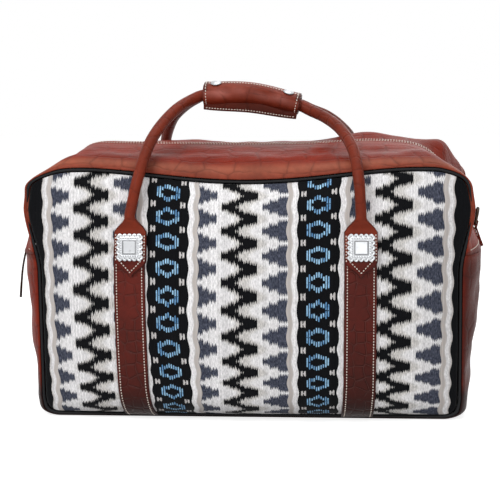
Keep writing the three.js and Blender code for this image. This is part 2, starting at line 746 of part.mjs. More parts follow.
function handleWrap() {
  const SIDES = 20;
  const STEPS = 4;
  const outer = sweep(roundOutline(SIDES), wrapStations(0, wrapLength, STEPS), (station, x, y) => {
    return wrapSection(station, Math.atan2(y, x), 0);
  });
  const PAST = 4;
  const boreStations = wrapStations(-PAST, wrapLength + PAST, STEPS + 2);
  const bore = sweep(roundOutline(SIDES), boreStations, (station, x, y) => {
    const [across, up] = squared(x, y, WRAP_BORE_ROUNDING);
    return station.point
      .clone()
      .add(vec(0, across * wrapHalfDepth, 0))
      .addScaledVector(station.up, up * wrapHalfHeight);
  });
  const flapStations = wrapStations(FLAP_INSET, wrapLength - FLAP_INSET, STEPS);
  const FLAP_STEPS = 8;
  const flap = sheet(STEPS, FLAP_STEPS, (i, j, w) => {
    const angle = lerp(FLAP_BACK, FLAP_FRONT, j / FLAP_STEPS);
    return wrapSection(flapStations[i], angle, lerp(-FIT, FLAP_THICKNESS, w));
  });
  const lipTop = -wrapHalfHeight / 2;
  const lipY = -wrapHalfDepth * 0.62;
  const lip = sheet(STEPS, 1, (i, j, w) => {
    const level = lerp(lipTop, -wrapHalfHeight - WRAP_WALL - WRAP_LIP_DEPTH, j);
    const { point, up } = wrapStations(0, wrapLength, STEPS)[i];
    return point.clone().add(vec(0, lipY - w * WRAP_LIP_THICKNESS, 0)).addScaledVector(up, level);
  });
  return cut(union(outer, flap, lip), bore);
}

// A domed cap on the flap, at a distance along the wrap.
function snapCap(distance) {
  const station = wrapStations(distance, distance + 1, 1)[0];
  const STEP = 0.01;
  const seat = wrapSection(station, SNAP_ANGLE, FLAP_THICKNESS);
  const lead = wrapSection(station, SNAP_ANGLE + STEP, FLAP_THICKNESS).sub(seat);
  const along = station.up.clone().cross(vec(0, -1, 0));
  const out = lead.cross(along).normalize();
  const place = seat.addScaledVector(out, 2 * FIT);
  const profile = [[0, 0], [1, 0], [1, 0.35], [0.75, 0.8], [0, 1]];
  const SIDES = 14;
  return new THREE.LatheGeometry(
    profile.map(([r, z]) => new THREE.Vector2(r * SNAP_RADIUS, z * SNAP_HEIGHT)), SIDES,
  )
    .applyQuaternion(new THREE.Quaternion().setFromUnitVectors(vec(0, 1, 0), out))
    .translate(place.x, place.y, place.z);
}

// Conchos

// The plate's outline: a square whose sides are rows of scallops.
function conchoOutline() {
  const half = CONCHO_SIDE / 2 - CONCHO_SCALLOP_DEPTH;
  const width = (2 * half) / CONCHO_SCALLOPS;
  const POINTS = 2;
  const corners = [];
  for (let side = 0; side < 4; side++) {
    for (let k = 0; k < CONCHO_SCALLOPS * POINTS; k++) {
      const along = -half + (k / POINTS) * width;
      const bump = CONCHO_SCALLOP_DEPTH * Math.abs(Math.sin((Math.PI * k) / POINTS));
      const corner = new THREE.Vector2(along, -half - bump);
      corners.push(corner.rotateAround(new THREE.Vector2(), (side * Math.PI) / 2));
    }
  }
  return new THREE.Shape(corners);
}

// A ring of square-cut section about Y, from one radius and level to another.
function tube(inner, outer, low, high) {
  const SIDES = 10;
  const corners = [[inner, low], [outer, low], [outer, high], [inner, high], [inner, low]];
  return new THREE.LatheGeometry(corners.map(([r, y]) => new THREE.Vector2(r, y)), SIDES);
}

// Puts a geometry whose +Y points out of the bag on the panel at a concho's place.
function atConcho(geometry, x) {
  const out = panelNormal(x, CONCHO_LEVEL);
  const side = vec(1, 0, 0).addScaledVector(out, -out.x).normalize();
  const frame = new THREE.Matrix4().makeBasis(side, out, side.clone().cross(out));
  frame.setPosition(onPanel(x, CONCHO_LEVEL, 0));
  return geometry.applyMatrix4(frame);
}

function concho(x) {
  const lay = (geometry) => geometry.rotateX(-Math.PI / 2);
  const depth = CONCHO_THICKNESS;
  const plate = lay(new THREE.ExtrudeGeometry(conchoOutline(), { depth, bevelEnabled: false }));
  const rise = CONCHO_THICKNESS + CONCHO_PLATEAU_RISE;
  const half = CONCHO_PLATEAU / 2;
  const plateau = block([-half, CONCHO_THICKNESS - FIT, -half], [half, rise, half]);
  const post = tube(POST_BORE, POST_RADIUS, -conchoLow - PANEL_THICKNESS + FIT, FIT);
  return atConcho(closed(union(plate, plateau, post)).translate(0, conchoLow, 0), x);
}

// The screw inside the bag that goes up into the concho's post.
function conchoScrew(x) {
  const SIDES = 10;
  const seat = -PANEL_THICKNESS - FIT - SEAT;
  const head = seat - SCREW_HEAD_THICKNESS;
  const profile = [
    [0, head], [SCREW_HEAD_RADIUS, head], [SCREW_HEAD_RADIUS, seat],
    [SCREW_RADIUS, seat], [SCREW_RADIUS, tabLow], [0, tabLow],
  ];
  return atConcho(new THREE.LatheGeometry(profile.map(([r, y]) => new THREE.Vector2(r, y)), SIDES), x);
}

// Rings

const ringBarOut = FIT + RING_TAB_EYE + RING_TAB_WALL;

// A loop of leather sewn into the join, with an eye for the ring's bar at a height above the join.
function ringTab(height) {
  const side = RING_TAB_WIDTH / 2;
  const stem = block([0, -side, FIT], [height, side, FIT + RING_TAB_THICKNESS]);
  const eye = rod(RING_TAB_EYE + RING_TAB_WALL, RING_TAB_WIDTH, height, ringBarOut);
  return cut(union(stem, eye), rod(RING_TAB_EYE, 2 * RING_TAB_WIDTH, height, ringBarOut));
}

// A wire ring with a straight bar in the tab and a round bow that leans out.
function dRing(height) {
  const half = RING_INNER_WIDTH / 2 + RING_WIRE_RADIUS;
  const bow = (share) => [half * Math.cos(share * Math.PI), RING_HEIGHT * Math.sin(share * Math.PI) ** 0.8];
  const straight = [-0.94, -0.5, 0, 0.5, 0.94].map((share) => [half * share, 0]);
  const round = [0.1, 0.25, 0.4, 0.5, 0.6, 0.75, 0.9].map(bow);
  const lean = vec(Math.cos(RING_LEAN), 0, Math.sin(RING_LEAN));
  const bar = vec(height, 0, ringBarOut);
  const place = ([y, rise]) => bar.clone().add(vec(0, y, 0)).addScaledVector(lean, rise);
  const path = new THREE.CatmullRomCurve3([...straight, ...round].map(place), true, "centripetal");
  const face = lean.clone().cross(vec(0, 1, 0));
  const AROUND = 24;
  const SIDES = 6;
  return loop(AROUND, SIDES, (i, angle) => {
    const across = path.getTangent(i / AROUND).cross(face);
    return path
      .getPoint(i / AROUND)
      .addScaledVector(across, RING_WIRE_RADIUS * Math.cos(angle))
      .addScaledVector(face, RING_WIRE_RADIUS * Math.sin(angle));
  });
}

// Inside

const boardLow = GUSSET_THICKNESS + FIT;

function baseBoard() {
  const half = [SEAM_HALF_LENGTH - BOARD_END_GAP, BOARD_DEPTH / 2];
  return block([-half[0], -half[1], boardLow], [half[0], half[1], boardLow + BOARD_THICKNESS]);
}

// A loose cloth tub that stands on the board: its half length and half depth at some heights.
function lining() {
  const floor = boardLow + BOARD_THICKNESS + FIT;
  const mouth = SEAM_TOP - LINING_MOUTH_DROP;
  const lengthAt = (z) => {
    return SEAM_HALF_LENGTH - LINING_END_GAP - Math.max(0, z - JOIN_HEIGHT) * Math.tan(CREST_LEAN);
  };
  const rib = (z, depth) => ({ z, length: lengthAt(z), depth: depth - LINING_SIDE_GAP });
  const ribs = [
    { z: floor, length: SEAM_HALF_LENGTH - BOARD_END_GAP, depth: BOARD_DEPTH / 2 },
    rib(floor + LINING_CURL, (SEAM_HALF_DEPTH_BOTTOM + FOLD_HALF_DEPTH) / 2),
    rib(SEAM_BOTTOM + FOLD_HEIGHT + LINING_CURL, FOLD_HALF_DEPTH),
    rib(lerp(floor, mouth, 0.54), BELLY_HALF_DEPTH),
    rib(SEAM_TOP - SEAM_TOP_RADIUS - 2 * LINING_CURL, BROW_HALF_DEPTH),
    rib(mouth, SEAM_HALF_DEPTH_TOP),
  ];
  const outside = [{ ...ribs[0], length: 0, depth: 0 }, ...ribs];
  const inside = outside.map((rib, k) => ({
    z: k < 2 ? rib.z + LINING_THICKNESS : rib.z,
    length: Math.max(0, rib.length - LINING_THICKNESS),
    depth: Math.max(0, rib.depth - LINING_THICKNESS),
  }));
  const walls = [...outside, ...inside.reverse()];
  const SIDES = 20;
  const lathe = new THREE.LatheGeometry(
    walls.map(({ z, length }) => new THREE.Vector2(length, z)), SIDES,
  );
  return reshape(lathe, (p, n) => {
    const wall = walls[n % walls.length];
    const angle = Math.atan2(p.z, p.x);
    const [x, y] = squared(Math.cos(angle), Math.sin(angle), LINING_ROUNDING);
    return vec(x * wall.length, y * wall.depth, wall.z);
  });
}

// Finishes

function finish(color, roughness, metalness = 0) {
  return new THREE.MeshStandardMaterial({ color, roughness, metalness });
}

const leather = finish(0x7a3420, 0.45);
const embossedLeather = finish(0x5f2a1d, 0.5);
const woven = finish(0xb9b4ab, 0.95);
const blackTrim = finish(0x17171a, 0.6);
const zipMetal = finish(0x6b5a44, 0.4, 0.8);
const silver = finish(0xd9dadc, 0.3, 0.9);
const darkMetal = finish(0x2a2624, 0.4, 0.85);
const cloth = finish(0x3b2c24, 0.9);
const card = finish(0x4a4038, 0.9);

// The bag

const bag = new THREE.Group();

function add(name, geometry, material, parent = bag) {
  const mesh = new THREE.Mesh(geometry, material);
  mesh.name = name;
  parent.add(mesh);
  return mesh;
}

function addBothFaces(makeFront, names, material) {
  const front = makeFront();
  add(names[0], front, material);
  add(names[1], mirrorY(front), material);
}

addBothFaces(() => cut(panel(), ...boresAt(-strapX, strapX)), ["front_panel", "back_panel"], woven);
addBothFaces(topGusset, ["top_gusset_front", "top_gusset_rear"], leather);
add("base_gusset", baseGusset(), leather);
addBothFaces(piping, ["front_piping", "back_piping"], blackTrim);
addBothFaces(zipperHalf, ["zipper_front_half", "zipper_rear_half"], zipMetal);
addBothFaces(handle, ["front_handle", "back_handle"], leather);

for (const [side, x] of [["left", -strapX], ["right", strapX]]) {
  addBothFaces(() => strap(x), [`front_strap_${side}`, `back_strap_${side}`], embossedLeather);
  addBothFaces(() => concho(x), [`front_concho_${side}`, `back_concho_${side}`], silver);
  addBothFaces(() => conchoScrew(x), [`front_concho_screw_${side}`, `back_concho_screw_${side}`], silver);
}

add("handle_wrap", handleWrap(), leather);
add("snap_cap_left", snapCap(SNAP_INSET), silver);
add("snap_cap_right", snapCap(wrapLength - SNAP_INSET), silver);

const ENDS = [["left", 0, LEFT_RING_HEIGHT], ["right", Math.PI, RIGHT_RING_HEIGHT]];
for (const [side, turn, ringHeight] of ENDS) {
  const half = new THREE.Group();
  half.rotation.z = turn;
  const end = new THREE.Group();
  end.position.copy(endFoot);
  end.rotation.y = endTurn;
  add(`ring_tab_${side}`, ringTab(ringHeight), leather, end);
  add(`d_ring_${side}`, dRing(ringHeight), darkMetal, end);
  add(`zipper_stop_${side}`, zipperStop(), zipMetal, end);
  half.add(end);
  bag.add(half);
}

const runner = new THREE.Group();
runner.position.copy(endFoot).addScaledVector(upEnd, SLIDER_HEIGHT);
runner.rotation.y = endTurn;
add("zipper_slider", zipperSlider(), darkMetal, runner);
add("zipper_pull", zipperPull(), darkMetal, runner).position.copy(pullHinge);
bag.add(runner);
add("pull_lace", pullLace(), leather);

add("base_board", baseBoard(), card);
add("lining", lining(), cloth);

export default bag;
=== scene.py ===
import math

import bmesh
import bpy
import numpy as np
from mathutils import Matrix, Vector


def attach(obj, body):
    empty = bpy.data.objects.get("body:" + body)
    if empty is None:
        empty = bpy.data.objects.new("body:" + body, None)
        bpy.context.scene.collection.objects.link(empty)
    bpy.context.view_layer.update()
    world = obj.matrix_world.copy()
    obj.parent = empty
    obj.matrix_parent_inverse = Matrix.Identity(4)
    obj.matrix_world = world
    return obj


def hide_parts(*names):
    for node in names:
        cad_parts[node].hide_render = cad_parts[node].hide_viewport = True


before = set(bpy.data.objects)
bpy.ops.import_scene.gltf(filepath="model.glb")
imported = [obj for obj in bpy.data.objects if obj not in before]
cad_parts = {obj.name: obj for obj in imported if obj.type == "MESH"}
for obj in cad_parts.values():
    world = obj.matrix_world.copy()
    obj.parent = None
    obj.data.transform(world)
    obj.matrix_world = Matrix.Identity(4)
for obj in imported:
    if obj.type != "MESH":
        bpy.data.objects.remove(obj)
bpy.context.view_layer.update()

bl_info = {
    "name": "Overnight bag",
    "version": (1, 0, 0),
    "blender": (4, 5, 0),
    "location": "View3D > Sidebar > Overnight bag",
    "description": "Dresses the solids of an overnight bag in woven wool, leather and metal",
    "category": "Object",
}

MM = 0.001
SENSOR_WIDTH = 36

# Sizes that the solids share: lengths in millimetres, angles in radians, the rest without a unit
FIT = 0.3
SEAT = 0.6
SEAM_HALF_LENGTH = 247
SEAM_TOP = 281
SEAM_BOTTOM = 4
SEAM_TOP_RADIUS = 46
SEAM_BOTTOM_RADIUS = 22
SEAM_HALF_DEPTH_TOP = 100
SEAM_HALF_DEPTH_BOTTOM = 84
PIPING_RADIUS = 2
SEAM_GAP = PIPING_RADIUS + SEAT
WAIST = 13
WAIST_TOP = 240
WAIST_FULL = 165
CREST_END_RISE = 12.5
CREST_TOP_RISE = 26
CREST_TOP_RADIUS = 36
CREST_LEAN = math.radians(22)
CREST_BOTTOM_RADIUS = 26
CROWN_POWER = 2.5
CROWN_ROUNDING = 0.625
CROWN_FLAT_TOP = 0.12
CROWN_FLAT_BASE = 0.6
GUSSET_THICKNESS = 2.2
JOIN_HEIGHT = 186
TOP_SAG = 14
SAG_START = 60
RIDGE_STIFFNESS = 0.85
END_TUCK = 15
TUCK_FULL = 20
FOLD_HALF_DEPTH = 126
FOLD_HEIGHT = 41
BELLY_HALF_DEPTH = 136
BROW_HALF_DEPTH = 120
PILLOW_POWER = 2.6
BELLY_SHARES = (0.3, 0.65)
BROW_LEAD = 0.4
ZIP_OPENING = 8
ZIP_TAPE_EDGE = 14
ZIP_TAPE_THICKNESS = 0.8
ZIP_START = 2.6
ZIP_STOP_LENGTH = 3
STRAP_X = 125
STRAP_SLANT = 5
STRAP_WIDTH = 35
STRAP_THICKNESS = 2.4
STRAP_FOOT = 0.15
STRAP_LOW = FIT
TAB_LOW = STRAP_LOW + STRAP_THICKNESS + FIT
TAB_THICKNESS = 4
TAB_TIP = 1.655
TAB_POINT = 1.745
TAB_SHOULDER = 1.915
TAB_TIP_WIDTH = 4
TAB_FLATNESS = 6
HANDLE_RADIUS = 7
HANDLE_HALF_GAP = 10.9
WRAP_LEFT = -56
WRAP_RIGHT = 53
WRAP_SLACK = 2.2
WRAP_WALL = 3.4
WRAP_ROUNDING = 2.5
WRAP_BORE_ROUNDING = 4
WRAP_LIP_THICKNESS = 4
FLAP_THICKNESS = 2.2
FLAP_BACK = math.radians(62)
SNAP_RADIUS = 6.3
SNAP_HEIGHT = 2.4
SNAP_INSET = 15
CONCHO_LOW = TAB_LOW + TAB_THICKNESS + FIT
CONCHO_ROW = 1.82
CONCHO_SIDE = 30
CONCHO_THICKNESS = 1.8
CONCHO_SCALLOPS = 5
CONCHO_SCALLOP_DEPTH = 1.4
CONCHO_PLATEAU = 13
RING_INNER_WIDTH = 22
RING_HEIGHT = 16
RING_WIRE_RADIUS = 1.8
RING_LEAN = math.radians(35)
RING_BAR_HEIGHTS = {"left": 17, "right": 28}
RING_TAB_WIDTH = 20
RING_TAB_EYE = 2.2
RING_TAB_WALL = 2
RING_BAR_OUT = FIT + RING_TAB_EYE + RING_TAB_WALL
BOARD_LENGTH = 436
BOARD_DEPTH = 146
LINING_FLOOR = 5.8
LINING_ROUNDING = 2.5
LINING_END_GAP = 11
LINING_SIDE_GAP = 16
LINING_CURL = 12
LINING_MOUTH_DROP = 32

# Sizes of the dressed bag where it departs from the solids or adds to them, in the same units
LEFT_STRAP_SHIFT = 2.4
TAB_SPREAD = 0.7
TAB_FLARE = 1.91
TAB_FLARE_TOP = 1.985
NECK_SLIMMING = 0.08
ROLL_SLIMMING = 0.92
WRAP_LIP_DEPTH = 3.5
WRAP_LIP_SAG = 4.2
FLAP_FRONT = math.radians(172)
SNAP_TURN = math.radians(124)
PULL_IN_REACH = 120
PANEL_WALL = 3
GUSSET_WALL = 2
LINING_WALL = 0.8
LEFT_CORNER_SWELL = 9
RIGHT_CORNER_SWELL = 7
FOOT_SWELL = 5
BACK_HANDLE_LEAN = 6
LACE_HALF_WIDTH = 1.5
LACE_HALF_THICKNESS = 1.15
LACE_TWIST = 2.4
ZIP_TAPE_START = 1.4
TEETH_APART = 1.6
TEETH_LEVEL = -2.3
STITCH_LIFT = 0.15
STRAP_STITCH_INSET = 3.2
TAB_STITCH_INSET = 2.4
TAB_STITCH_REACH = 11.5
CREST_STITCH_Y = 11
CREST_STITCH_START = 14
CREST_STITCH_HEIGHT = 1.1
WRAP_STITCH_INSET = 3.2
FLAP_STITCH_INSET = 3.5
LIP_STITCH_INSET = 2.4
CONCHO_TARNISH = 0.2
VALLEY_X = 218
VALLEY_DEPTH = 13
# Height, middle along the bag and width of the top's slouches: corner, droop, swell and rear
SLOUCHES = ((15, -213, 20), (3, -228, 22), (9, 128, 42), (14, 224, 18))
# Lengths of a zip tooth, in metres
TOOTH = {"Height": 3.2 * MM, "Reach": 2.6 * MM, "Thickness": 1.25 * MM}

FORWARD = np.array([0, -1.0, 0])
BACKWARD = -FORWARD
MIRROR = np.array([1, -1, 1])

# Points along the front handle and along the lace
HANDLE_ROUTE = np.array([
    [-117.5, -123, 270], [-106.5, -90, 312], [-86, -44, 343], [-68, -16, 355.5], [-56, -10.9, 360],
    [-1.5, -10.3, 360], [53, -10.9, 348], [66, -15, 342], [84, -32, 334.5], [103.5, -64, 321],
    [117.5, -99, 299.5], [123.5, -123, 270],
], float)
LACE_ROUTE = np.array([
    [-247.2, 0, 226], [-247.5, -1.9, 224], [-248.2, -6.5, 221.2], [-249.7, -11.2, 217.5],
    [-251.9, -15, 212.4], [-254.7, -17.4, 205.6], [-257.8, -18.6, 198.2], [-261.5, -19.3, 190],
    [-265.2, -19.8, 180.4], [-267.8, -20.2, 169.6], [-269.7, -20.6, 158], [-270.9, -21, 146],
    [-271.7, -21.4, 136], [-272.3, -21.8, 127],
])


# Settings that a user would change

def srgb(code):
    """A linear colour from a web colour such as 0x8b4536."""
    channels = [(code >> shift & 255) / 255 for shift in (16, 8, 0)]
    return tuple(c / 12.92 if c <= 0.04045 else ((c + 0.055) / 1.055) ** 2.4 for c in channels)


def colour(name, description, code):
    return bpy.props.FloatVectorProperty(
        name=name, description=description, default=srgb(code), subtype="COLOR", size=3, min=0, max=1,
    )


def length(name, description, default):
    return bpy.props.FloatProperty(
        name=name, description=description, default=default * MM, unit="LENGTH", precision=5,
    )


def angle(name, description, default):
    return bpy.props.FloatProperty(
        name=name, description=description, default=math.radians(default), subtype="ANGLE",
    )


class BagColours(bpy.types.PropertyGroup):
    """Colours of the bag's cloth, leather and metal"""

    leather: colour("Leather", "Leather of the top, ends and base", 0x812410)
    handle_leather: colour("Handle leather", "Leather of the handles and their wrap", 0x7C2E1B)
    strap_leather: colour("Strap leather", "Embossed leather of the straps on the panels", 0x62221A)
    lace: colour("Lace leather", "Dark lace of the zip pull", 0x42302A)
    # Painted highlight: the paler band along the top leather beside its seams.
    rubbed: colour("Rubbed leather", "Paler brown where the leather is rubbed", 0x9E5641)
    # Painted highlight: the paler, greyer band across the front of the wrap.
    sheen: colour("Wrap sheen", "Paler, greyer red of the handled front of the wrap", 0xA86358)
    ridge: colour("Embossed lines", "Paler lines between the pressed scales", 0x8E5C55)
    # Also the colour of painted shade on the leather's foot, the base's right end, the straps' feet and the
    # wrap's lip.
    burnish_and_shade: colour("Burnished edge", "Dark brown of cut and rubbed leather edges", 0x220E0B)
    white: colour("White wool", "Ground of the woven panels", 0xF3F1F2)
    cream: colour("Cream wool", "Warm ground beside the black zigzag", 0xCBC7C2)
    grey: colour("Slate wool", "Stepped triangles beside the stripes", 0x585B68)
    black: colour("Black wool", "Zigzag and ring columns", 0x0D0E11)
    blue: colour("Blue wool", "Rings in the black columns", 0x3F7CB4)
    tan: colour("Tan wool", "Thin stripe beside each ring column", 0xB9AFA8)
    thread: colour("Thread", "Stitches along the leather edges", 0xE6DCD2)
    piping: colour("Piping", "Black leather cord in the seams", 0x0E0E11)
    silver: colour("Silver", "Conchos and snap caps", 0xCDCFD2)
    dark_metal: colour("Dark metal", "Rings, zip slider and pull", 0x3A2E26)
    zip_metal: colour("Zip metal", "Teeth of the zip", 0x7A6242)
    tape: colour("Zip tape", "Cloth tape of the zip", 0x33201A)
    lining: colour("Lining", "Cloth inside the bag", 0x4A382C)
    board: colour("Base board", "Stiff board in the base", 0x4A4038)


class BagSizes(bpy.types.PropertyGroup):
    """Sizes of the stitches, zip and weave"""

    stitch_pitch: length("Stitch pitch", "Distance from one stitch to the next", 3.2)
    stitch_length: length("Stitch length", "Length of a stitch that shows", 2.1)
    stitch_width: length("Thread width", "Thickness of the thread", 1.4)
    tooth_pitch: length("Zip pitch", "Distance from one zip tooth to the next on a tape", 2.6)
    repeat: length("Weave repeat", "Distance from one ring column to the next", 165)
    period: length("Weave period", "Height of one step of the zigzag", 29.2)
    first_ring: length("First ring", "Distance of the first ring from the top seam", 17.2)
    thread: length("Wool thread", "Width of one warp thread that shows", 1.8)
    feather: length("Feathering", "Height of the thread ends at the top of a block", 4)
    swell: length("Swell", "How far the stuffed cloth stands out between the straps", 3)


class BagView(bpy.types.PropertyGroup):
    """Where the camera stands"""

    azimuth: angle("Azimuth", "Angle of the camera round the bag, from the front", 5)
    elevation: angle("Elevation", "Angle of the camera above the floor", 6.8)
    roll: angle("Roll", "Tilt of the camera about its own line of sight", -0.47)
    distance: length("Distance", "Distance from the camera to the middle of the bag", 1948)
    aim_x: length("Aim along", "Place along the bag that the camera looks at", -5.55)
    aim_z: length("Aim height", "Height that the camera looks at", 180.3)
    lens: bpy.props.FloatProperty(
        name="Lens", description=f"Focal length on a {SENSOR_WIDTH} mm frame", default=120.8, unit="CAMERA",
    )


def colours():
    return bpy.context.scene.bag_colours


def sizes():
    return bpy.context.scene.bag_sizes


def paint(name):
    """One of the bag's colours, as a node takes it."""
    return (*getattr(colours(), name), 1)


# Curves and surfaces of the bag, in millimetres

def blend(a, b, share):
    return a + (b - a) * share


def ease(value, low, high):
    """A smooth step from 0 at low to 1 at high."""
    share = np.clip((value - low) / (high - low), 0, 1)
    return share * share * (3 - 2 * share)


def bell(value, middle, width):
    """A smooth hump of height 1."""
    return np.exp(-(((value - middle) / width) ** 2))


def bezier(share, ends):
    """The value at a share of the curve that some end and control values give."""
    while len(ends) > 1:
        ends = [blend(a, b, share) for a, b in zip(ends, ends[1:])]
    return ends[0]


def unit(vectors):
    return vectors / np.linalg.norm(vectors, axis=-1, keepdims=True)


def round_turn(count):
    """Angles of evenly spaced points on a circle."""
    return np.linspace(0, 2 * math.pi, count, endpoint=False)


def lumps(points, size, seed):
    """A smooth unevenness between about -1 and 1, with waves of about the given size."""
    chance = np.random.default_rng(seed)
    total = np.zeros(points.shape[:-1])
    for _ in range(7):
        way = unit(chance.normal(size=3)) * 2 * math.pi / (size * chance.uniform(0.7, 1.6))
        total += np.sin(points @ way + chance.uniform(0, 2 * math.pi))
    return total / 3


def smooth_path(knots, count, closed=False):
    """Evenly spaced points on a centripetal curve through some knots."""
    knots = np.asarray(knots, float)
    if closed:
        padded = np.vstack([knots[-1], knots, knots[0], knots[1]])
    else:
        padded = np.vstack([2 * knots[0] - knots[1], knots, 2 * knots[-1] - knots[-2]])
    t = np.linspace(0, 1, 25)[:, None]
    pieces = []
    for p0, p1, p2, p3 in zip(padded, padded[1:], padded[2:], padded[3:]):
        d0, d1, d2 = (math.sqrt(np.linalg.norm(b - a)) for a, b in ((p0, p1), (p1, p2), (p2, p3)))
        m1 = ((p1 - p0) / d0 - (p2 - p0) / (d0 + d1) + (p2 - p1) / d1) * d1
        m2 = ((p2 - p1) / d1 - (p3 - p1) / (d1 + d2) + (p3 - p2) / d2) * d1
        bend = -3 * p1 + 3 * p2 - 2 * m1 - m2
        pieces.append(p1 + m1 * t + bend * t ** 2 + (2 * p1 - 2 * p2 + m1 + m2) * t ** 3)
    dense = np.vstack([piece[:-1] for piece in pieces] + [pieces[-1][-1:]])
    return spaced(dense, np.linspace(0, 1, count + 1)[: count if closed else None])


def travel(points):
    """Distance along a row of points."""
    steps = np.linalg.norm(np.diff(points, axis=0), axis=-1)
    return np.concatenate([[0], np.cumsum(steps)])


def at_distance(values, way, distance):
    """Values at some distances along a row of points whose own distances are way."""
    return np.stack([np.interp(distance, way, column) for column in values.T], 1)


def spaced(points, shares):
    """Points at shares of the length of a row of points."""
    way = travel(points)
    return at_distance(points, way, shares * way[-1])


def tangents(points, closed=False):
    if closed:
        return unit(np.roll(points, -1, 0) - np.roll(points, 1, 0))
    return unit(np.gradient(points, axis=0))


def seam(outwards):
    """The seam round a panel, moved outwards by a distance."""
    return {
        "half": SEAM_HALF_LENGTH + outwards,
        "top": SEAM_TOP + outwards,
        "bottom": SEAM_BOTTOM - outwards,
        "top_radius": SEAM_TOP_RADIUS + outwards,
        "bottom_radius": SEAM_BOTTOM_RADIUS + outwards,
        "lean": 0,
    }


def crest():
    """The crest of the gusset."""
    return {
        "half": SEAM_HALF_LENGTH + CREST_END_RISE,
        "top": SEAM_TOP + CREST_TOP_RISE,
        "bottom": 0,
        "top_radius": CREST_TOP_RADIUS,
        "bottom_radius": CREST_BOTTOM_RADIUS,
        "lean": CREST_LEAN,
    }


def shoulder(outline):
    """Centre of the arc between a leaning end and the top, and the foot and head of that end."""
    foot = JOIN_HEIGHT + FIT / 2
    z = outline["top"] - outline["top_radius"]
    rise = z + outline["top_radius"] * math.sin(outline["lean"]) - foot
    head_x = outline["half"] - rise * math.tan(outline["lean"])
    x = head_x - outline["top_radius"] * math.cos(outline["lean"])
    return {"x": x, "z": z, "foot": foot, "head_x": head_x, "head_z": foot + rise}


def line(start, end, steps):
    return np.linspace(start, end, steps + 1)


def arc(x, z, radius, start, end, steps):
    turn = np.linspace(start, end, steps + 1)
    return np.stack([x + radius * np.cos(turn), z + radius * np.sin(turn)], 1)


def chain(legs):
    return np.vstack([legs[0]] + [leg[1:] for leg in legs[1:]])


# Steps along each end, corner and middle
UPPER_STEPS = (24, 36, 120)
LOWER_STEPS = (44, 20, 100)


def upper_path(outline):
    """An outline's upper part, from the left join over the top to the right join."""
    s = shoulder(outline)
    half, top, radius, lean = (outline[key] for key in ("half", "top", "top_radius", "lean"))
    end, corner, middle = UPPER_STEPS
    return chain([
        line((-half, s["foot"]), (-s["head_x"], s["head_z"]), end),
        arc(-s["x"], s["z"], radius, math.pi - lean, math.pi / 2, corner),
        line((-s["x"], top), (s["x"], top), middle),
        arc(s["x"], s["z"], radius, math.pi / 2, lean, corner),
        line((s["head_x"], s["head_z"]), (half, s["foot"]), end),
    ])


def lower_path(outline):
    """An outline's lower part, from the left join under the base to the right join."""
    half, bottom, radius = (outline[key] for key in ("half", "bottom", "bottom_radius"))
    x, z, start = half - radius, bottom + radius, JOIN_HEIGHT - FIT / 2
    end, corner, middle = LOWER_STEPS
    return chain([
        line((-half, start), (-half, z), end),
        arc(-x, z, radius, math.pi, 1.5 * math.pi, corner),
        line((-x, bottom), (x, bottom), middle),
        arc(x, z, radius, 1.5 * math.pi, 2 * math.pi, corner),
        line((half, z), (half, start), end),
    ])


def pull_in(path, distance):
    """Moves both ends of a path towards its middle, which stays where it is."""
    x = path[:, 0]
    return np.stack([x - np.sign(x) * distance * ease(np.abs(x), 0, PULL_IN_REACH), path[:, 1]], 1)


def draw_in(path):
    """Below its top corners the seam is drawn in by a waist."""
    return pull_in(path, WAIST * (1 - ease(path[:, 1], WAIST_FULL, WAIST_TOP)))


def tuck_in(path):
    """Below the join the crest of each end is tucked in towards the base."""
    return pull_in(path, END_TUCK * (1 - ease(path[:, 1], TUCK_FULL, JOIN_HEIGHT)))


def seam_half_depth(z):
    share = np.clip((z - SEAM_BOTTOM) / (SEAM_TOP - SEAM_BOTTOM), 0, 1)
    return blend(SEAM_HALF_DEPTH_BOTTOM, SEAM_HALF_DEPTH_TOP, share)


def crown(q, flat):
    """How far the gusset has risen from seam to crest, for q from -1 at the front seam to 1."""
    share = np.maximum(0, (np.abs(q) - flat) / (1 - flat))
    return np.maximum(0, 1 - share ** CROWN_POWER) ** CROWN_ROUNDING


def settle(points):
    """The top of a soft bag hangs lower in the middle, less so along the ridge that the zip stiffens."""
    reach = shoulder(crest())["x"]
    z = points[..., 2]
    along = np.maximum(0, 1 - (points[..., 0] / reach) ** 2) ** 2
    up = np.clip((z - SAG_START) / (SEAM_TOP - SAG_START), 0, 1) ** 2
    ridge = RIDGE_STIFFNESS * ease(z, SEAM_TOP, SEAM_TOP + CREST_TOP_RISE)
    lowered = points.copy()
    lowered[..., 0] += shoulder_swell(points)
    lowered[..., 2] = z - TOP_SAG * along * up * (1 - ridge) + slouch(points)
    return lowered


def shoulder_swell(points):
    """How far the stuffed corners stand out sideways: the top ones along the two seams, and the feet."""
    x, y, z = np.moveaxis(points, -1, 0)
    top = np.where(x < 0, LEFT_CORNER_SWELL, RIGHT_CORNER_SWELL) * bell(z, 271, 14)
    top = top * ease(np.abs(y), 35, 85)
    foot = FOOT_SWELL * bell(z, 5, 9)
    return np.sign(x) * (top + foot) * ease(np.abs(x), 195, 230)


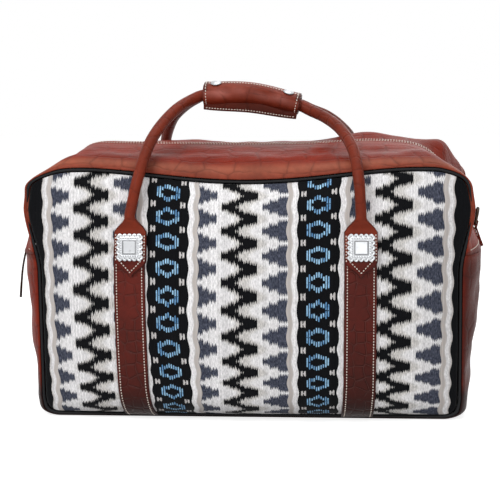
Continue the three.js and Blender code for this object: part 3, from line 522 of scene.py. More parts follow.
def slouch(points):
    """Rise of the soft top where it leans: in at the left corner, down along the zip and up at the back."""
    x, y, z = np.moveaxis(points, -1, 0)
    corner, droop, swell, rear = (height * bell(x, middle, width) for height, middle, width in SLOUCHES)
    between = 1 - ease(np.abs(y), 50, 92)
    behind = ease(y, 13, 46)
    beside_zip = ease(np.abs(y), 14, 40)
    corner = corner * blend(ease(z, 267, 290), 1, beside_zip)
    droop = droop * blend(ease(z, 267, 285), ease(z, 230, 275), beside_zip)
    swell = swell * blend(0.25, 1, behind)
    valley = VALLEY_DEPTH * bell(x, VALLEY_X, np.where(x < VALLEY_X, 34, 24))
    valley = valley * bell(np.maximum(0, np.abs(y) - 12), 0, np.where(y < 0, 60, 22))
    front = (2 + 4 * ease(-y, 12, 60)) * (1 - behind) * (1 - ease(np.abs(x), 150, 200))
    return (swell + rear * behind - corner - valley - front) * between * ease(z, 250, 290) - droop


def gusset_points(path, rows):
    """Outer face of a gusset: along its path, then across by rows of q."""
    foot = draw_in(path(seam(SEAM_GAP)))
    top = tuck_in(path(crest()))
    flat = blend(CROWN_FLAT_BASE, CROWN_FLAT_TOP, ease(foot[:, 1], SEAM_BOTTOM, JOIN_HEIGHT))
    rise = crown(rows[None, :], flat[:, None])
    x = blend(foot[:, :1], top[:, :1], rise)
    z = blend(foot[:, 1:], top[:, 1:], rise)
    y = seam_half_depth(foot[:, 1])[:, None] * rows[None, :]
    return settle(np.stack([x, y, z], -1))


def panel_row(row):
    """Edge and middle of a panel at a row: 0 to 1 is the fold, 1 to 2 the belly, 2 to 3 the brow."""
    row = np.asarray(row, float)
    s = seam(-SEAM_GAP)
    fold_share, belly_share, brow_share = (np.clip(row - k, 0, 1) for k in range(3))
    low = (fold_share - 1) * math.pi / 2
    high = brow_share * math.pi / 2
    foot = s["bottom"] + s["bottom_radius"]
    brow = s["top"] - s["top_radius"]
    edge_x = s["half"] + s["bottom_radius"] * (np.cos(low) - 1) + s["top_radius"] * (np.cos(high) - 1)
    edge_z = foot + s["bottom_radius"] * np.sin(low) + (brow - foot) * belly_share
    edge_z = edge_z + s["top_radius"] * np.sin(high)
    edge_x = edge_x - WAIST * (1 - ease(edge_z, WAIST_FULL, WAIST_TOP))
    heel = s["bottom"] + FOLD_HEIGHT
    low_belly, high_belly = (blend(heel, brow, share) for share in BELLY_SHARES)
    fold = [blend(SEAM_HALF_DEPTH_BOTTOM, FOLD_HALF_DEPTH, np.cos(low)), heel + FOLD_HEIGHT * np.sin(low)]
    ends = np.array([
        [FOLD_HALF_DEPTH, heel], [BELLY_HALF_DEPTH, low_belly],
        [BELLY_HALF_DEPTH, high_belly], [BROW_HALF_DEPTH, brow],
    ])
    over = ends[3] + BROW_LEAD * (ends[3] - ends[2])
    top = [SEAM_HALF_DEPTH_TOP, s["top"]]
    middle = []
    for k in (0, 1):
        belly = bezier(belly_share, ends[:, k])
        bow = bezier(brow_share, [ends[3][k], over[k], top[k]])
        middle.append(np.where(row < 1, fold[k], np.where(row < 2, belly, bow)))
    return edge_x, edge_z, middle[0], middle[1]


def panel_face(x, row):
    edge_x, edge_z, middle_y, middle_z = panel_row(row)
    pillow = 1 - np.minimum(1, np.abs(x / edge_x)) ** PILLOW_POWER
    y = -blend(seam_half_depth(edge_z), middle_y, pillow)
    return np.stack(np.broadcast_arrays(x, y, blend(edge_z, middle_z, pillow)), -1)


def panel_normal(x, row):
    step = 1e-3
    low = np.clip(row - step, 0, 3 - step)
    high = np.clip(row + step, step, 3)
    across = panel_face(x + step, row) - panel_face(x - step, row)
    return unit(np.cross(across, panel_face(x, high) - panel_face(x, low)))


def on_panel(x, row, height):
    """Points at a height above the front panel's face."""
    x, row, height = np.broadcast_arrays(np.asarray(x, float), row, height)
    return settle(panel_face(x, row) + panel_normal(x, row) * height[..., None])


def strap_centre(x, row):
    """Middle of a strap, which slants in towards its foot. The left one is sewn on a little further out."""
    down = np.clip((CONCHO_ROW - row) / (CONCHO_ROW - STRAP_FOOT), 0, 1) ** 2
    shift = LEFT_STRAP_SHIFT if x < 0 else 0
    return x - math.copysign(STRAP_SLANT, x) * down - shift * (1 - down)


def at_end(local, side):
    """Points on the leaning end of the bag: local x runs up the zip and z points out."""
    up = np.array([math.sin(CREST_LEAN), 0, math.cos(CREST_LEAN)])
    out = np.array([-math.cos(CREST_LEAN), 0, math.sin(CREST_LEAN)])
    foot = np.array([-crest()["half"], 0, JOIN_HEIGHT])
    local = np.asarray(local, float)
    points = foot + local[..., :1] * up + local[..., 1:2] * np.array([0, 1, 0]) + local[..., 2:] * out
    return points if side == "left" else points * [-1, -1, 1]


# Meshes

class Shape:
    """Points, faces, a flat map in metres, a mask of wear and painted shade and a mask of tones, which grow
    into one mesh.
    """

    def __init__(self):
        self.points = []
        self.faces = []
        self.flat = []
        self.edge = []
        self.tone = []
        self.count = 0

    def add_points(self, points, edge, tone):
        points = np.asarray(points, float).reshape(-1, 3)
        self.points.append(points)
        self.edge.append(edge)
        self.tone.append(tone)
        self.count += len(points)
        return self.count - len(points)

    def grid(self, points, flat=None, wrap_rows=False, wrap=False, edge=0.0, tone=0.0):
        """Adds a grid of points. flat has a row or a column more where the grid wraps round."""
        rows, columns = points.shape[:2]
        if flat is None:
            flat = self.measure(points, wrap_rows, wrap)
        edge, tone = (np.broadcast_to(values, (rows, columns)).reshape(-1) for values in (edge, tone))
        first = self.add_points(points, edge, tone)
        for r in range(rows if wrap_rows else rows - 1):
            for c in range(columns if wrap else columns - 1):
                corners = [(r, c), (r, c + 1), (r + 1, c + 1), (r + 1, c)]
                self.faces.append([first + (i % rows) * columns + j % columns for i, j in corners])
                self.flat.extend(flat[i, j] for i, j in corners)
        return first

    @staticmethod
    def measure(points, wrap_rows, wrap):
        """Distances along and across a grid, taken along its middle lines."""
        along = points[:, points.shape[1] // 2]
        across = points[points.shape[0] // 2]
        if wrap_rows:
            along = np.vstack([along, along[:1]])
        if wrap:
            across = np.vstack([across, across[:1]])
        u, v = np.meshgrid(travel(across) - travel(across)[-1] / 2, travel(along))
        return np.stack([u, v], -1) * MM

    def cap(self, first, count):
        """Closes a ring of points with one face."""
        self.faces.append(list(range(first, first + count)))
        self.flat.extend(np.zeros((count, 2)))

    def tube(self, rings, flat=None, edge=0.0, tone=0.0):
        """A closed bar: rings of points along it, with both ends capped."""
        first = self.grid(rings, flat, wrap=True, edge=edge, tone=tone)
        self.cap(first, rings.shape[1])
        self.cap(first + (len(rings) - 1) * rings.shape[1], rings.shape[1])

    def mirrored(self):
        """The same shape on the back of the bag."""
        other = Shape()
        other.points = [points * MIRROR for points in self.points]
        other.edge = self.edge
        other.tone = self.tone
        other.count = self.count
        start = 0
        for face in self.faces:
            other.faces.append(face[::-1])
            other.flat.extend(self.flat[start:start + len(face)][::-1])
            start += len(face)
        return other

    def piece(self, name, finish_name, slot, replaces=(), body="bag", closed=True, sharp=50):
        """Makes the mesh and the piece that wears it."""
        mesh = bpy.data.meshes.new(name)
        mesh.from_pydata(np.vstack(self.points) * MM, [], self.faces)
        layer = mesh.uv_layers.new(name="flat")
        layer.uv.foreach_set("vector", np.asarray(self.flat, np.float32).ravel())
        for label, values in (("edge", self.edge), ("tone", self.tone)):
            layer = mesh.attributes.new(label, "FLOAT", "POINT")
            layer.data.foreach_set("value", np.concatenate(values).astype(np.float32))
        if closed:
            turn_outwards(mesh)
        mesh.shade_smooth()
        mesh.set_sharp_from_angle(angle=math.radians(sharp))
        return finish_piece(bpy.data.objects.new(name, mesh), finish_name, replaces, body)


def turn_outwards(mesh):
    work = bmesh.new()
    work.from_mesh(mesh)
    bmesh.ops.recalc_face_normals(work, faces=work.faces)
    work.to_mesh(mesh)
    work.free()


def finish_piece(piece, finish_name, replaces, body):
    """Gives a piece its finish and its place on a body."""
    if piece.name not in bpy.context.scene.collection.objects:
        bpy.context.scene.collection.objects.link(piece)
    piece.data.materials.clear()
    piece.data.materials.append(finish(finish_name))
    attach(piece, body)
    if replaces:
        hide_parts(*replaces)
    return piece


def both_faces(shape, label, finish_name, slot, node):
    """Makes a piece on the front of the bag and its mirror image on the back."""
    for face, made in (("front", shape), ("back", shape.mirrored())):
        made.piece(f"{face}_{label}", finish_name, slot, [f"{face}_{node}"])


def dress_solid(node, finish_name):
    """Gives a solid that is kept as it is a finish."""
    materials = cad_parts[node].data.materials
    materials.clear()
    materials.append(finish(finish_name))


def give_wall(piece, thickness):
    """Thickens an open sheet inwards from its outer face."""
    wall = piece.modifiers.new("Wall", "SOLIDIFY")
    wall.thickness = thickness * MM
    wall.offset = -1
    wall.use_even_offset = False


def softened(node, name, finish_name, body, width):
    """A copy of a solid with its edges rounded over."""
    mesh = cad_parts[node].data.copy()
    work = bmesh.new()
    work.from_mesh(mesh)
    bmesh.ops.remove_doubles(work, verts=work.verts, dist=1e-6)
    bmesh.ops.dissolve_limit(work, angle_limit=math.radians(1), verts=work.verts, edges=work.edges)
    bmesh.ops.recalc_face_normals(work, faces=work.faces)
    work.to_mesh(mesh)
    work.free()
    mesh.name = name
    piece = finish_piece(bpy.data.objects.new(name, mesh), finish_name, [node], body)
    bevel = piece.modifiers.new("Rounding", "BEVEL")
    bevel.width = width * MM
    bevel.segments = 3
    bevel.limit_method = "ANGLE"
    bevel.angle_limit = math.radians(30)
    mesh.shade_smooth()
    mesh.set_sharp_from_angle(angle=math.radians(40))


def rounded_strip(width, thickness, radius, columns):
    """A strip's section as pairs of across and height, round its closed edge."""
    turn = np.linspace(0, math.pi / 2, 4)
    half = width / 2 - radius
    corner = [[half + radius * math.cos(a), thickness - radius + radius * math.sin(a)] for a in turn]
    top = [[x, thickness] for x in np.linspace(half, -half, columns)[1:-1]]
    other = [[-x, z] for x, z in corner[::-1]]
    return np.array([[half + radius, 0], *corner, *top, *other, [-half - radius, 0]])


def squared(x, y, power):
    """A unit circle's point drawn out towards a square."""
    return [np.sign(value) * np.abs(value) ** (2 / power) for value in (x, y)]


def strip_edge(across, half):
    """A mask of a strip's two cut edges."""
    return ease(np.abs(across), half - 1.6, half - 0.3)


# Node trees

def operation(kind):
    """A method of a wire that runs one kind of maths on it and on other values."""
    return lambda wire, *others: wire.maths(kind, *others)


class Wire:
    """A value in a node tree that is added, multiplied and compared like a number."""

    def __init__(self, tree, socket):
        self.tree = tree
        self.socket = socket

    def maths(self, kind, *others):
        return result(self.tree, "ShaderNodeMath", dict(enumerate((self, *others))), operation=kind)

    def ease(self, low, high):
        """A smooth step from 0 at low to 1 at high."""
        values = dict(enumerate((self, low, high, 0.0, 1.0)))
        return result(self.tree, "ShaderNodeMapRange", values, interpolation_type="SMOOTHSTEP")

    def __rsub__(self, other):
        return self.maths("MULTIPLY_ADD", -1.0, other)

    __add__ = __radd__ = operation("ADD")
    __sub__ = operation("SUBTRACT")
    __mul__ = __rmul__ = operation("MULTIPLY")
    __truediv__ = operation("DIVIDE")
    __abs__ = operation("ABSOLUTE")
    __lt__ = operation("LESS_THAN")
    __gt__ = operation("GREATER_THAN")
    largest = operation("MAXIMUM")
    smallest = operation("MINIMUM")
    fraction = operation("FRACT")
    floor = operation("FLOOR")


def plug(tree, value, socket):
    if isinstance(value, Wire):
        tree.links.new(value.socket, socket)
    else:
        socket.default_value = value


def set_inputs(tree, node, values):
    for key, value in values.items():
        plug(tree, value, node.inputs[key])


def add_node(tree, kind, inputs=None, **settings):
    """A new node with its settings, and with values or wires on its inputs."""
    node = tree.nodes.new(kind)
    for key, value in settings.items():
        setattr(node, key, value)
    set_inputs(tree, node, inputs or {})
    return node


def result(tree, kind, inputs=None, socket=0, **settings):
    """The wire from an output of a new node."""
    return Wire(tree, add_node(tree, kind, inputs, **settings).outputs[socket])


def mixed(tree, share, first, second, way="MIX"):
    values = {0: share, 6: first, 7: second}
    return result(tree, "ShaderNodeMix", values, 2, data_type="RGBA", blend_type=way)


def times(tree, first, second):
    """A colour times another, or times a wire for all three channels."""
    if isinstance(second, Wire):
        second = packed(tree, second, second, second)
    return mixed(tree, 1.0, first, second, "MULTIPLY")


def noise(tree, vector, scale, detail=2.0, roughness=0.5):
    values = {"Vector": vector, "Scale": scale, "Detail": detail, "Roughness": roughness}
    return result(tree, "ShaderNodeTexNoise", values)


def chance(tree, value, seed):
    """A random number between 0 and 1 for each whole value."""
    place = {"Vector": packed(tree, value, seed, 0.0)}
    return result(tree, "ShaderNodeTexWhiteNoise", place, noise_dimensions="2D")


def packed(tree, x, y, z):
    return result(tree, "ShaderNodeCombineXYZ", {0: x, 1: y, 2: z})


def unpacked(tree, vector):
    return [Wire(tree, socket) for socket in add_node(tree, "ShaderNodeSeparateXYZ", {0: vector}).outputs]


def object_place(tree):
    return result(tree, "ShaderNodeTexCoord", socket="Object")


def flat_map(tree):
    """Across and along on the flat hide or cloth, in metres."""
    return unpacked(tree, result(tree, "ShaderNodeUVMap", uv_map="flat"))[:2]


def painted(tree, name):
    """A mask painted on the points of a mesh: the dark mask for worn, burnished and dirty places and for
    painted shade, tone for a second dye and for a painted highlight.
    """
    return result(tree, "ShaderNodeAttribute", socket="Fac", attribute_name=name)


SOCKETS = {"colour": "NodeSocketColor", "value": "NodeSocketFloat"}
SURFACE = {"Colour": "colour", "Roughness": "value", "Height": "value"}


def shader_group(name, inputs, outputs):
    """A new shader group with named sockets, the wires of its inputs and the node of its outputs."""
    tree = bpy.data.node_groups.new(name, "ShaderNodeTree")
    for way, sockets in (("INPUT", inputs), ("OUTPUT", outputs)):
        for label, kind in sockets.items():
            tree.interface.new_socket(label, in_out=way, socket_type=SOCKETS[kind])
    source = tree.nodes.new("NodeGroupInput")
    sink = tree.nodes.new("NodeGroupOutput")
    return tree, {label: Wire(tree, source.outputs[label]) for label in inputs}, sink


def use_group(tree, name, inputs):
    """Places a shared group in a tree and gives the wires of its outputs."""
    group = bpy.data.node_groups.get(name) or EFFECTS[name](name)
    node = add_node(tree, "ShaderNodeGroup", inputs, node_tree=group)
    return {socket.name: Wire(tree, socket) for socket in node.outputs}


def new_finish(name):
    material = bpy.data.materials.new(name)
    material.use_nodes = True
    tree = material.node_tree
    tree.nodes.clear()
    shader = tree.nodes.new("ShaderNodeBsdfPrincipled")
    output = tree.nodes.new("ShaderNodeOutputMaterial")
    tree.links.new(shader.outputs[0], output.inputs["Surface"])
    return tree, shader


def bumped(tree, height, distance):
    """A normal from a height between 0 and 1 that stands for a distance in millimetres."""
    values = {"Height": height, "Distance": distance * MM, "Strength": 1.0}
    return result(tree, "ShaderNodeBump", values)


# Shared effects

def hide_group(name):
    """Mottled colour, roughness and grain of an oiled hide, darkened where the mask marks burnished edges
    and painted shade.
    """
    sockets = {"Colour": "colour", "Burnish and shade": "colour", "Grain": "value"}
    tree, given, sink = shader_group(name, sockets, SURFACE)
    place = object_place(tree)
    cloud = noise(tree, place, 22.0, 3.0)
    streak = noise(tree, place, 140.0, 4.0, 0.6)
    tone = (cloud * 0.65 + streak * 0.35).ease(0.3, 0.72)
    darker = mixed(tree, 0.42, given["Colour"], given["Burnish and shade"])
    body = mixed(tree, tone, darker, given["Colour"])
    rubbed = noise(tree, place, 60.0, 3.0).ease(0.56, 0.78) * 0.25
    lighter = times(tree, given["Colour"], (1.45, 1.32, 1.2, 1.0))
    body = mixed(tree, rubbed, body, lighter)
    # Painted shade: the dark mask also darkens the leather's foot, the base's right end, the straps' feet
    # and the wrap's lip, besides real cut and burnished edges.
    body = mixed(tree, painted(tree, "edge") * 0.8, body, given["Burnish and shade"])
    pores = {"Vector": place, "Scale": given["Grain"]}
    pebble = result(tree, "ShaderNodeTexVoronoi", pores, feature="DISTANCE_TO_EDGE").ease(0.0, 0.25)
    crumple = noise(tree, place, 260.0, 3.0)
    set_inputs(tree, sink, {
        "Colour": body,
        "Roughness": 0.34 + streak * 0.2 + cloud * 0.08,
        "Height": pebble * 0.45 + crumple * 0.55,
    })
    return tree


def scales_group(name):
    """Creases and swell of reptile scales pressed into leather."""
    tree, given, sink = shader_group(
        name, {"Size": "value", "Stretch": "value"}, {"Crease": "value", "Height": "value"},
    )
    across, along = flat_map(tree)
    bent = noise(tree, packed(tree, across, along, 0.0), 70.0, 2.0)
    spot = packed(tree, across / given["Size"] + bent * 0.35, along / given["Size"] / given["Stretch"], 0.0)
    net = {"Vector": spot, "Scale": 1.0, "Randomness": 0.5}
    gap = result(tree, "ShaderNodeTexVoronoi", net, feature="DISTANCE_TO_EDGE", voronoi_dimensions="2D")
    broken = noise(tree, packed(tree, across, along, 0.3), 45.0, 2.0).ease(0.3, 0.5)
    set_inputs(tree, sink, {
        "Crease": (1.0 - gap.ease(0.008, 0.05)) * broken,
        "Height": 1.0 - (1.0 - gap.ease(0.0, 0.14)) * broken,
    })
    return tree


def worn_metal_group(name):
    """Colour and roughness of rubbed metal with dirt in its hollows."""
    sockets = {"Colour": "colour", "Dirt": "colour", "Gloss": "value"}
    tree, given, sink = shader_group(name, sockets, SURFACE)
    place = object_place(tree)
    cloud = noise(tree, place, 180.0, 3.0)
    scratch = noise(tree, place, 1500.0, 3.0, 0.7)
    grime = (painted(tree, "edge") + cloud.ease(0.62, 0.8) * 0.3).smallest(1.0)
    set_inputs(tree, sink, {
        "Colour": mixed(tree, grime, given["Colour"], given["Dirt"]),
        "Roughness": given["Gloss"] + cloud * 0.14 + grime * 0.25,
        "Height": scratch * 0.4 + cloud * 0.6,
    })
    return tree


EFFECTS = {"Hide": hide_group, "Scales": scales_group, "Worn metal": worn_metal_group}


# Finishes

def leather_finish(name, tint, second, crease, grain, size, stretch, depth, crease_strength, gloss):
    """Leather with a pressed pattern of scales, in its dye and a second colour: a second dye, and on the
    top leather and the wrap a painted highlight.
    """
    tree, shader = new_finish(name)
    # The tone mask brings in the second colour: a second dye on the handles' tabs and a painted highlight
    # on the top leather and the wrap.
    dye_and_sheen = mixed(tree, painted(tree, "tone"), paint(tint), paint(second))
    hide = use_group(tree, "Hide", {"Colour": dye_and_sheen, "Burnish and shade": paint("burnish_and_shade"), "Grain": grain})
    scales = use_group(tree, "Scales", {"Size": size * MM, "Stretch": stretch})
    # Painted shade: each scale is darker towards its creases and a little lighter in its middle.
    body = times(tree, hide["Colour"], (scales["Height"] - 1.0) * (depth * 0.25) + 1.05)
    set_inputs(tree, shader, {
        "Base Color": mixed(tree, scales["Crease"] * crease_strength, body, paint(crease)),
        "Roughness": hide["Roughness"] + gloss,
        "Normal": bumped(tree, scales["Height"] * depth + hide["Height"] * 0.16, 0.9),
        "Coat Weight": 0.02,
        "Coat Roughness": 0.25,
        "Specular IOR Level": 0.1,
    })


def piping_leather(name):
    tree, shader = new_finish(name)
    deep = (0.002, 0.002, 0.002, 1)
    hide = use_group(tree, "Hide", {"Colour": paint("piping"), "Burnish and shade": deep, "Grain": 1200.0})
    set_inputs(tree, shader, {
        "Base Color": hide["Colour"],
        "Roughness": hide["Roughness"] + 0.08,
        "Normal": bumped(tree, hide["Height"], 0.15),
        "Specular IOR Level": 0.2,
    })


# Half widths, places and steps in the weave, in millimetres across from the middle of a ring column
RING_GROUND = 22.8
STRIPE_EDGE = 34.0
BORDER_STRIPE = (23.0, 25.5)
TAN_START = (27.8, 29.6)
STRIPE_WAVE = 1.1
STROKE_PITCH = 2.65
MARK_PLACE = 16.4
# Beyond this place across the panel, a column has no rings
RINGS_END = 195.0
# Second colours of the uneven threads
PALE_SLATE = (0.15, 0.165, 0.23, 1)
DEEP_SLATE = (0.035, 0.04, 0.062, 1)
PALE_BLUE = (0.46, 0.76, 0.99, 1)
RING_SHADE = (0.003, 0.012, 0.035, 1)
MARK_WHITE = (0.72, 0.69, 0.68, 1)


class Weave:
    """Place on the flat cloth in millimetres, with the warp threads and the ring columns there."""

    def __init__(self, tree):
        size = sizes()
        feather = size.feather / MM
        self.tree = tree
        self.repeat = size.repeat / MM
        self.period = size.period / MM
        self.across, self.down = (value * 1000.0 for value in flat_map(tree))
        self.step = (self.down - size.first_ring / MM) / self.period

        # Each thread ends a little higher or lower, in a point
        place = self.across / (size.thread / MM)
        self.luck = chance(tree, place.floor(), 3.0)
        self.valley = abs(place.fraction() - 0.5) * 2.0
        self.ragged = (0.5 - self.valley) * feather + (self.luck - 0.5) * feather * 0.7
        self.speck = self.mottle(0.9, 0.24, 0.0, 3.0, 0.7).ease(0.3, 0.7)

        # The ring columns are half a step out of time with each other
        column = (self.across / self.repeat).floor()
        beat = (self.step + (column + 1.0) * 0.5 + 0.5).fraction() - 0.5
        self.sideways = self.across - (column + 0.5) * self.repeat
        self.ring_y = abs(beat) * self.period
        self.wave = (beat * 2.0 * math.pi).maths("COSINE") * STRIPE_WAVE
        self.patterned = abs(self.across) < RINGS_END

    def mottle(self, x_scale, y_scale, seed, detail, roughness):
        """Unevenness that is drawn out along the threads."""
        spot = packed(self.tree, self.across * x_scale, self.down * y_scale, seed)
        return noise(self.tree, spot, 1.0, detail, roughness)


def weave_field(weave):
    """Colour of the wool between two ring columns, with its figures and stripes, and where it is warm."""
    tree, repeat = weave.tree, weave.repeat
    cell = (weave.across / repeat + 0.5).floor()
    field = weave.across - cell * repeat
    phase = weave.step + cell * 0.31
    bands = add_node(tree, "ShaderNodeValToRGB", {0: field / repeat + 0.5})
    set_bands(bands.color_ramp, repeat)
    share, shift, ink = unpacked(tree, Wire(tree, bands.outputs[0]))
    turn = abs((phase + 0.5).fraction() - 0.5)
    reach = share * 0.5 + (share > 0.01) * weave.ragged / weave.period
    stripe = abs(weave.sideways) - weave.wave
    figure = (abs(turn - shift) < reach) * (stripe > STRIPE_EDGE)
    tan_thread = stripe.ease(*TAN_START) * (stripe < STRIPE_EDGE)
    tan_thread = tan_thread + (1.0 - stripe.ease(*BORDER_STRIPE)) * (1.0 - weave.patterned) * 0.7
    zigzag = field - 9.0 * (phase * 2.0 * math.pi).maths("COSINE")
    warm = 1.0 - abs(zigzag).ease(12.0, 21.0)
    fleck = weave.mottle(0.5, 0.35, 5.0, 2.0, 0.6)
    wool = mixed(tree, warm * 0.8, paint("white"), paint("cream"))
    wool = mixed(tree, tan_thread * (0.5 + weave.speck * 0.5), wool, paint("tan"))
    slate = mixed(tree, fleck.ease(0.4, 0.66), paint("grey"), PALE_SLATE)
    slate = mixed(tree, weave.speck * 0.7, DEEP_SLATE, slate)
    return mixed(tree, figure, wool, mixed(tree, ink, slate, paint("black"))), warm


def weave_rings(weave):
    """Colour of a ring column: strokes of blue on black, and pale marks between the rings."""
    tree = weave.tree

    # Each ring is drawn by separate strokes, which rank counts from its middle
    stroke = weave.sideways / STROKE_PITCH
    stroke_luck = chance(tree, stroke.floor() + weave.step.floor() * 31.0, 11.0)
    from_core = abs(stroke.fraction() - 0.5) * 2.0
    rank = abs(stroke.floor() + 0.5)
    flank = rank > 3.0
    level = weave.ring_y + from_core * 1.4 + (stroke_luck - 0.5) * 2.2
    outer = 12.3 - rank * 2.0 + flank * 2.8
    inner = (1.0 - flank) * (6.6 - rank * 1.4)
    inside = weave.patterned * (rank < 5.0) * (level < outer) * (level > inner)
    ring = inside * (1.0 - from_core.ease(0.42, 0.72))
    mark_x = abs(abs(weave.sideways) - MARK_PLACE)
    mark_y = weave.period / 2 - weave.ring_y + weave.ragged * 0.35
    mark = weave.patterned * (mark_x < 2.8) * (mark_y < 3.4) * (1.0 - (mark_x < 0.7) * (mark_y > 0.9))
    blue = mixed(tree, weave.speck * 0.4 + stroke_luck * 0.7, paint("blue"), PALE_BLUE)
    night = mixed(tree, inside, paint("black"), RING_SHADE)
    return mixed(tree, mark * 0.9, mixed(tree, ring, night, blue), MARK_WHITE)


def woven_wool(name):
    """Columns of dyed warp: stepped triangles, a zigzag, striped borders and columns of rings."""
    tree, shader = new_finish(name)
    weave = Weave(tree)
    luck, valley, speck = weave.luck, weave.valley, weave.speck
    field, warm = weave_field(weave)
    ground = abs(weave.sideways) < RING_GROUND + weave.wave + (luck - 0.5) * 0.8
    cloth = mixed(tree, ground, field, weave_rings(weave))
    # The streaks and the unevenness from thread to thread are the wool's own; the darkening in the valleys
    # between threads is painted shade.
    shade = 0.76 + speck * (0.37 + warm * 0.2) - warm * 0.07
    shade = shade + (luck - 0.5) * 0.2 - valley * valley * 0.14

    # Round threads with loose fibres over them
    ribs = (1.0 - valley).maths("POWER", 0.6)
    weft = (weave.down / 2.3 + luck).fraction()
    knots = (1.0 - abs(weft - 0.5) * 2.0).maths("POWER", 0.5)
    fuzz = noise(tree, packed(tree, weave.across, weave.down, 0.0), 1.6, 3.0, 0.7)
    set_inputs(tree, shader, {
        "Base Color": times(tree, cloth, shade),
        "Roughness": 0.95,
        "Normal": bumped(tree, ribs * 0.4 + knots * 0.2 + fuzz * 0.5, 0.55),
        "Sheen Weight": 0.06,
        "Sheen Roughness": 0.5,
        "Specular IOR Level": 0.08,
    })


def set_bands(ramp, repeat):
    """Sets the columns of a field: the share of a step that is dyed, its shift and its ink.

    Ink 0 is slate and 1 is black. A shift between 0 and a half gives two slanting bands in a step.
    """
    slate, black = 0.0, 1.0
    columns = [
        (-82.5, 0, 0, slate), (-52.0, 0.8, 0, slate), (-43.7, 0.56, 0, slate), (-36.3, 0.32, 0, slate),
        (-28.6, 0, 0, slate), (-23.4, 0.36, 0.5, black), (-15.6, 0.53, 0.5, black),
        (-8.2, 0.37, 0.32, black), (-3.9, 0.37, 0.18, black), (0.4, 0.53, 0, black), (7.8, 0.38, 0, black),
        (15.6, 0, 0, slate), (20.9, 0.32, 0.5, slate), (29.0, 0.56, 0.5, slate), (37.8, 0.8, 0.5, slate),
        (52.0, 0, 0, slate),
    ]
    ramp.interpolation = "CONSTANT"
    while len(ramp.elements) < len(columns):
        ramp.elements.new(1.0)
    for element, (start, share, shift, ink) in zip(ramp.elements, columns):
        element.position = max(0, start / repeat + 0.5)
        element.color = (share, shift, ink, 1)


def plain_cloth(name, tint, scale):
    """A plain weave of two sets of threads."""
    tree, shader = new_finish(name)
    place = object_place(tree)
    x, y, z = unpacked(tree, place)
    over = ((x + y) * scale).maths("SINE") * (z * scale + x * scale * 0.5).maths("SINE")
    uneven = noise(tree, place, 90.0, 3.0)
    deep = times(tree, paint(tint), (0.55, 0.55, 0.55, 1))
    set_inputs(tree, shader, {
        "Base Color": mixed(tree, over * 0.25 + uneven * 0.8, deep, paint(tint)),
        "Roughness": 0.85 + uneven * 0.1,
        "Normal": bumped(tree, over * 0.5 + 0.5, 0.2),
    })


def base_card(name):
    """Pressed board with a faint grain."""
    tree, shader = new_finish(name)
    fibre = noise(tree, object_place(tree), 320.0, 4.0, 0.65)
    deep = times(tree, paint("board"), (0.6, 0.6, 0.6, 1))
    set_inputs(tree, shader, {
        "Base Color": mixed(tree, fibre, deep, paint("board")),
        "Roughness": 0.8 + fibre * 0.15,
        "Normal": bumped(tree, fibre, 0.15),
    })


def thread_finish(name):
    """Waxed thread with a twist."""
    tree, shader = new_finish(name)
    uneven = noise(tree, object_place(tree), 700.0, 2.0)
    deep = times(tree, paint("thread"), (0.72, 0.66, 0.62, 1))
    set_inputs(tree, shader, {
        "Base Color": mixed(tree, uneven.ease(0.3, 0.6), deep, paint("thread")),
        "Roughness": 0.6 + uneven * 0.2,
        "Normal": bumped(tree, uneven, 0.1),
    })


def metal_finish(name, tint, dirt_and_shade, gloss, rough):
    tree, shader = new_finish(name)
    worn = use_group(tree, "Worn metal", {"Colour": paint(tint), "Dirt": (*dirt_and_shade, 1), "Gloss": gloss})
    set_inputs(tree, shader, {
        "Base Color": worn["Colour"],
        "Metallic": 1.0,
        "Roughness": worn["Roughness"],
        "Normal": bumped(tree, worn["Height"], rough),
    })


FINISHES = {
    "Bridle leather": (leather_finish, {
        "tint": "leather", "second": "rubbed", "crease": "burnish_and_shade", "grain": 900.0, "size": 18.0,
        "stretch": 1.6, "depth": 0.45, "crease_strength": 0.22, "gloss": 0.0,
    }),
    "Handle leather": (leather_finish, {
        "tint": "handle_leather", "second": "strap_leather", "crease": "burnish_and_shade", "grain": 1000.0,
        "size": 14.0, "stretch": 1.2, "depth": 0.4, "crease_strength": 0.18, "gloss": -0.03,
    }),
    "Wrap leather": (leather_finish, {
        "tint": "handle_leather", "second": "sheen", "crease": "burnish_and_shade", "grain": 1000.0, "size": 20.0,
        "stretch": 1.6, "depth": 0.4, "crease_strength": 0.2, "gloss": -0.03,
    }),
    "Embossed leather": (leather_finish, {
        "tint": "strap_leather", "second": "burnish_and_shade", "crease": "ridge", "grain": 900.0, "size": 12.0,
        "stretch": 1.1, "depth": 1.2, "crease_strength": 0.16, "gloss": 0.0,
    }),
    "Lace leather": (leather_finish, {
        "tint": "lace", "second": "burnish_and_shade", "crease": "burnish_and_shade", "grain": 1400.0, "size": 9.0,
        "stretch": 1.5, "depth": 0.2, "crease_strength": 0.4, "gloss": 0.1,
    }),
    "Black piping": (piping_leather, {}),
    "Woven wool": (woven_wool, {}),
    "Zip tape": (plain_cloth, {"tint": "tape", "scale": 4200.0}),
    "Lining cloth": (plain_cloth, {"tint": "lining", "scale": 3600.0}),
    "Base card": (base_card, {}),
    "Waxed thread": (thread_finish, {}),
    "Silver": (metal_finish, {"tint": "silver", "dirt_and_shade": (0.05, 0.05, 0.05), "gloss": 0.26, "rough": 0.06}),
    "Dark metal": (metal_finish, {
        "tint": "dark_metal", "dirt_and_shade": (0.01, 0.008, 0.006), "gloss": 0.22, "rough": 0.05,
    }),
    "Zip metal": (metal_finish, {
        "tint": "zip_metal", "dirt_and_shade": (0.04, 0.03, 0.02), "gloss": 0.25, "rough": 0.05,
    }),
}


def finish(name):
    """The named finish, made the first time that a piece asks for it."""
    if name not in bpy.data.materials:
        make, values = FINISHES[name]
        make(name, **values)
    return bpy.data.materials[name]


# Rows of stitches and teeth

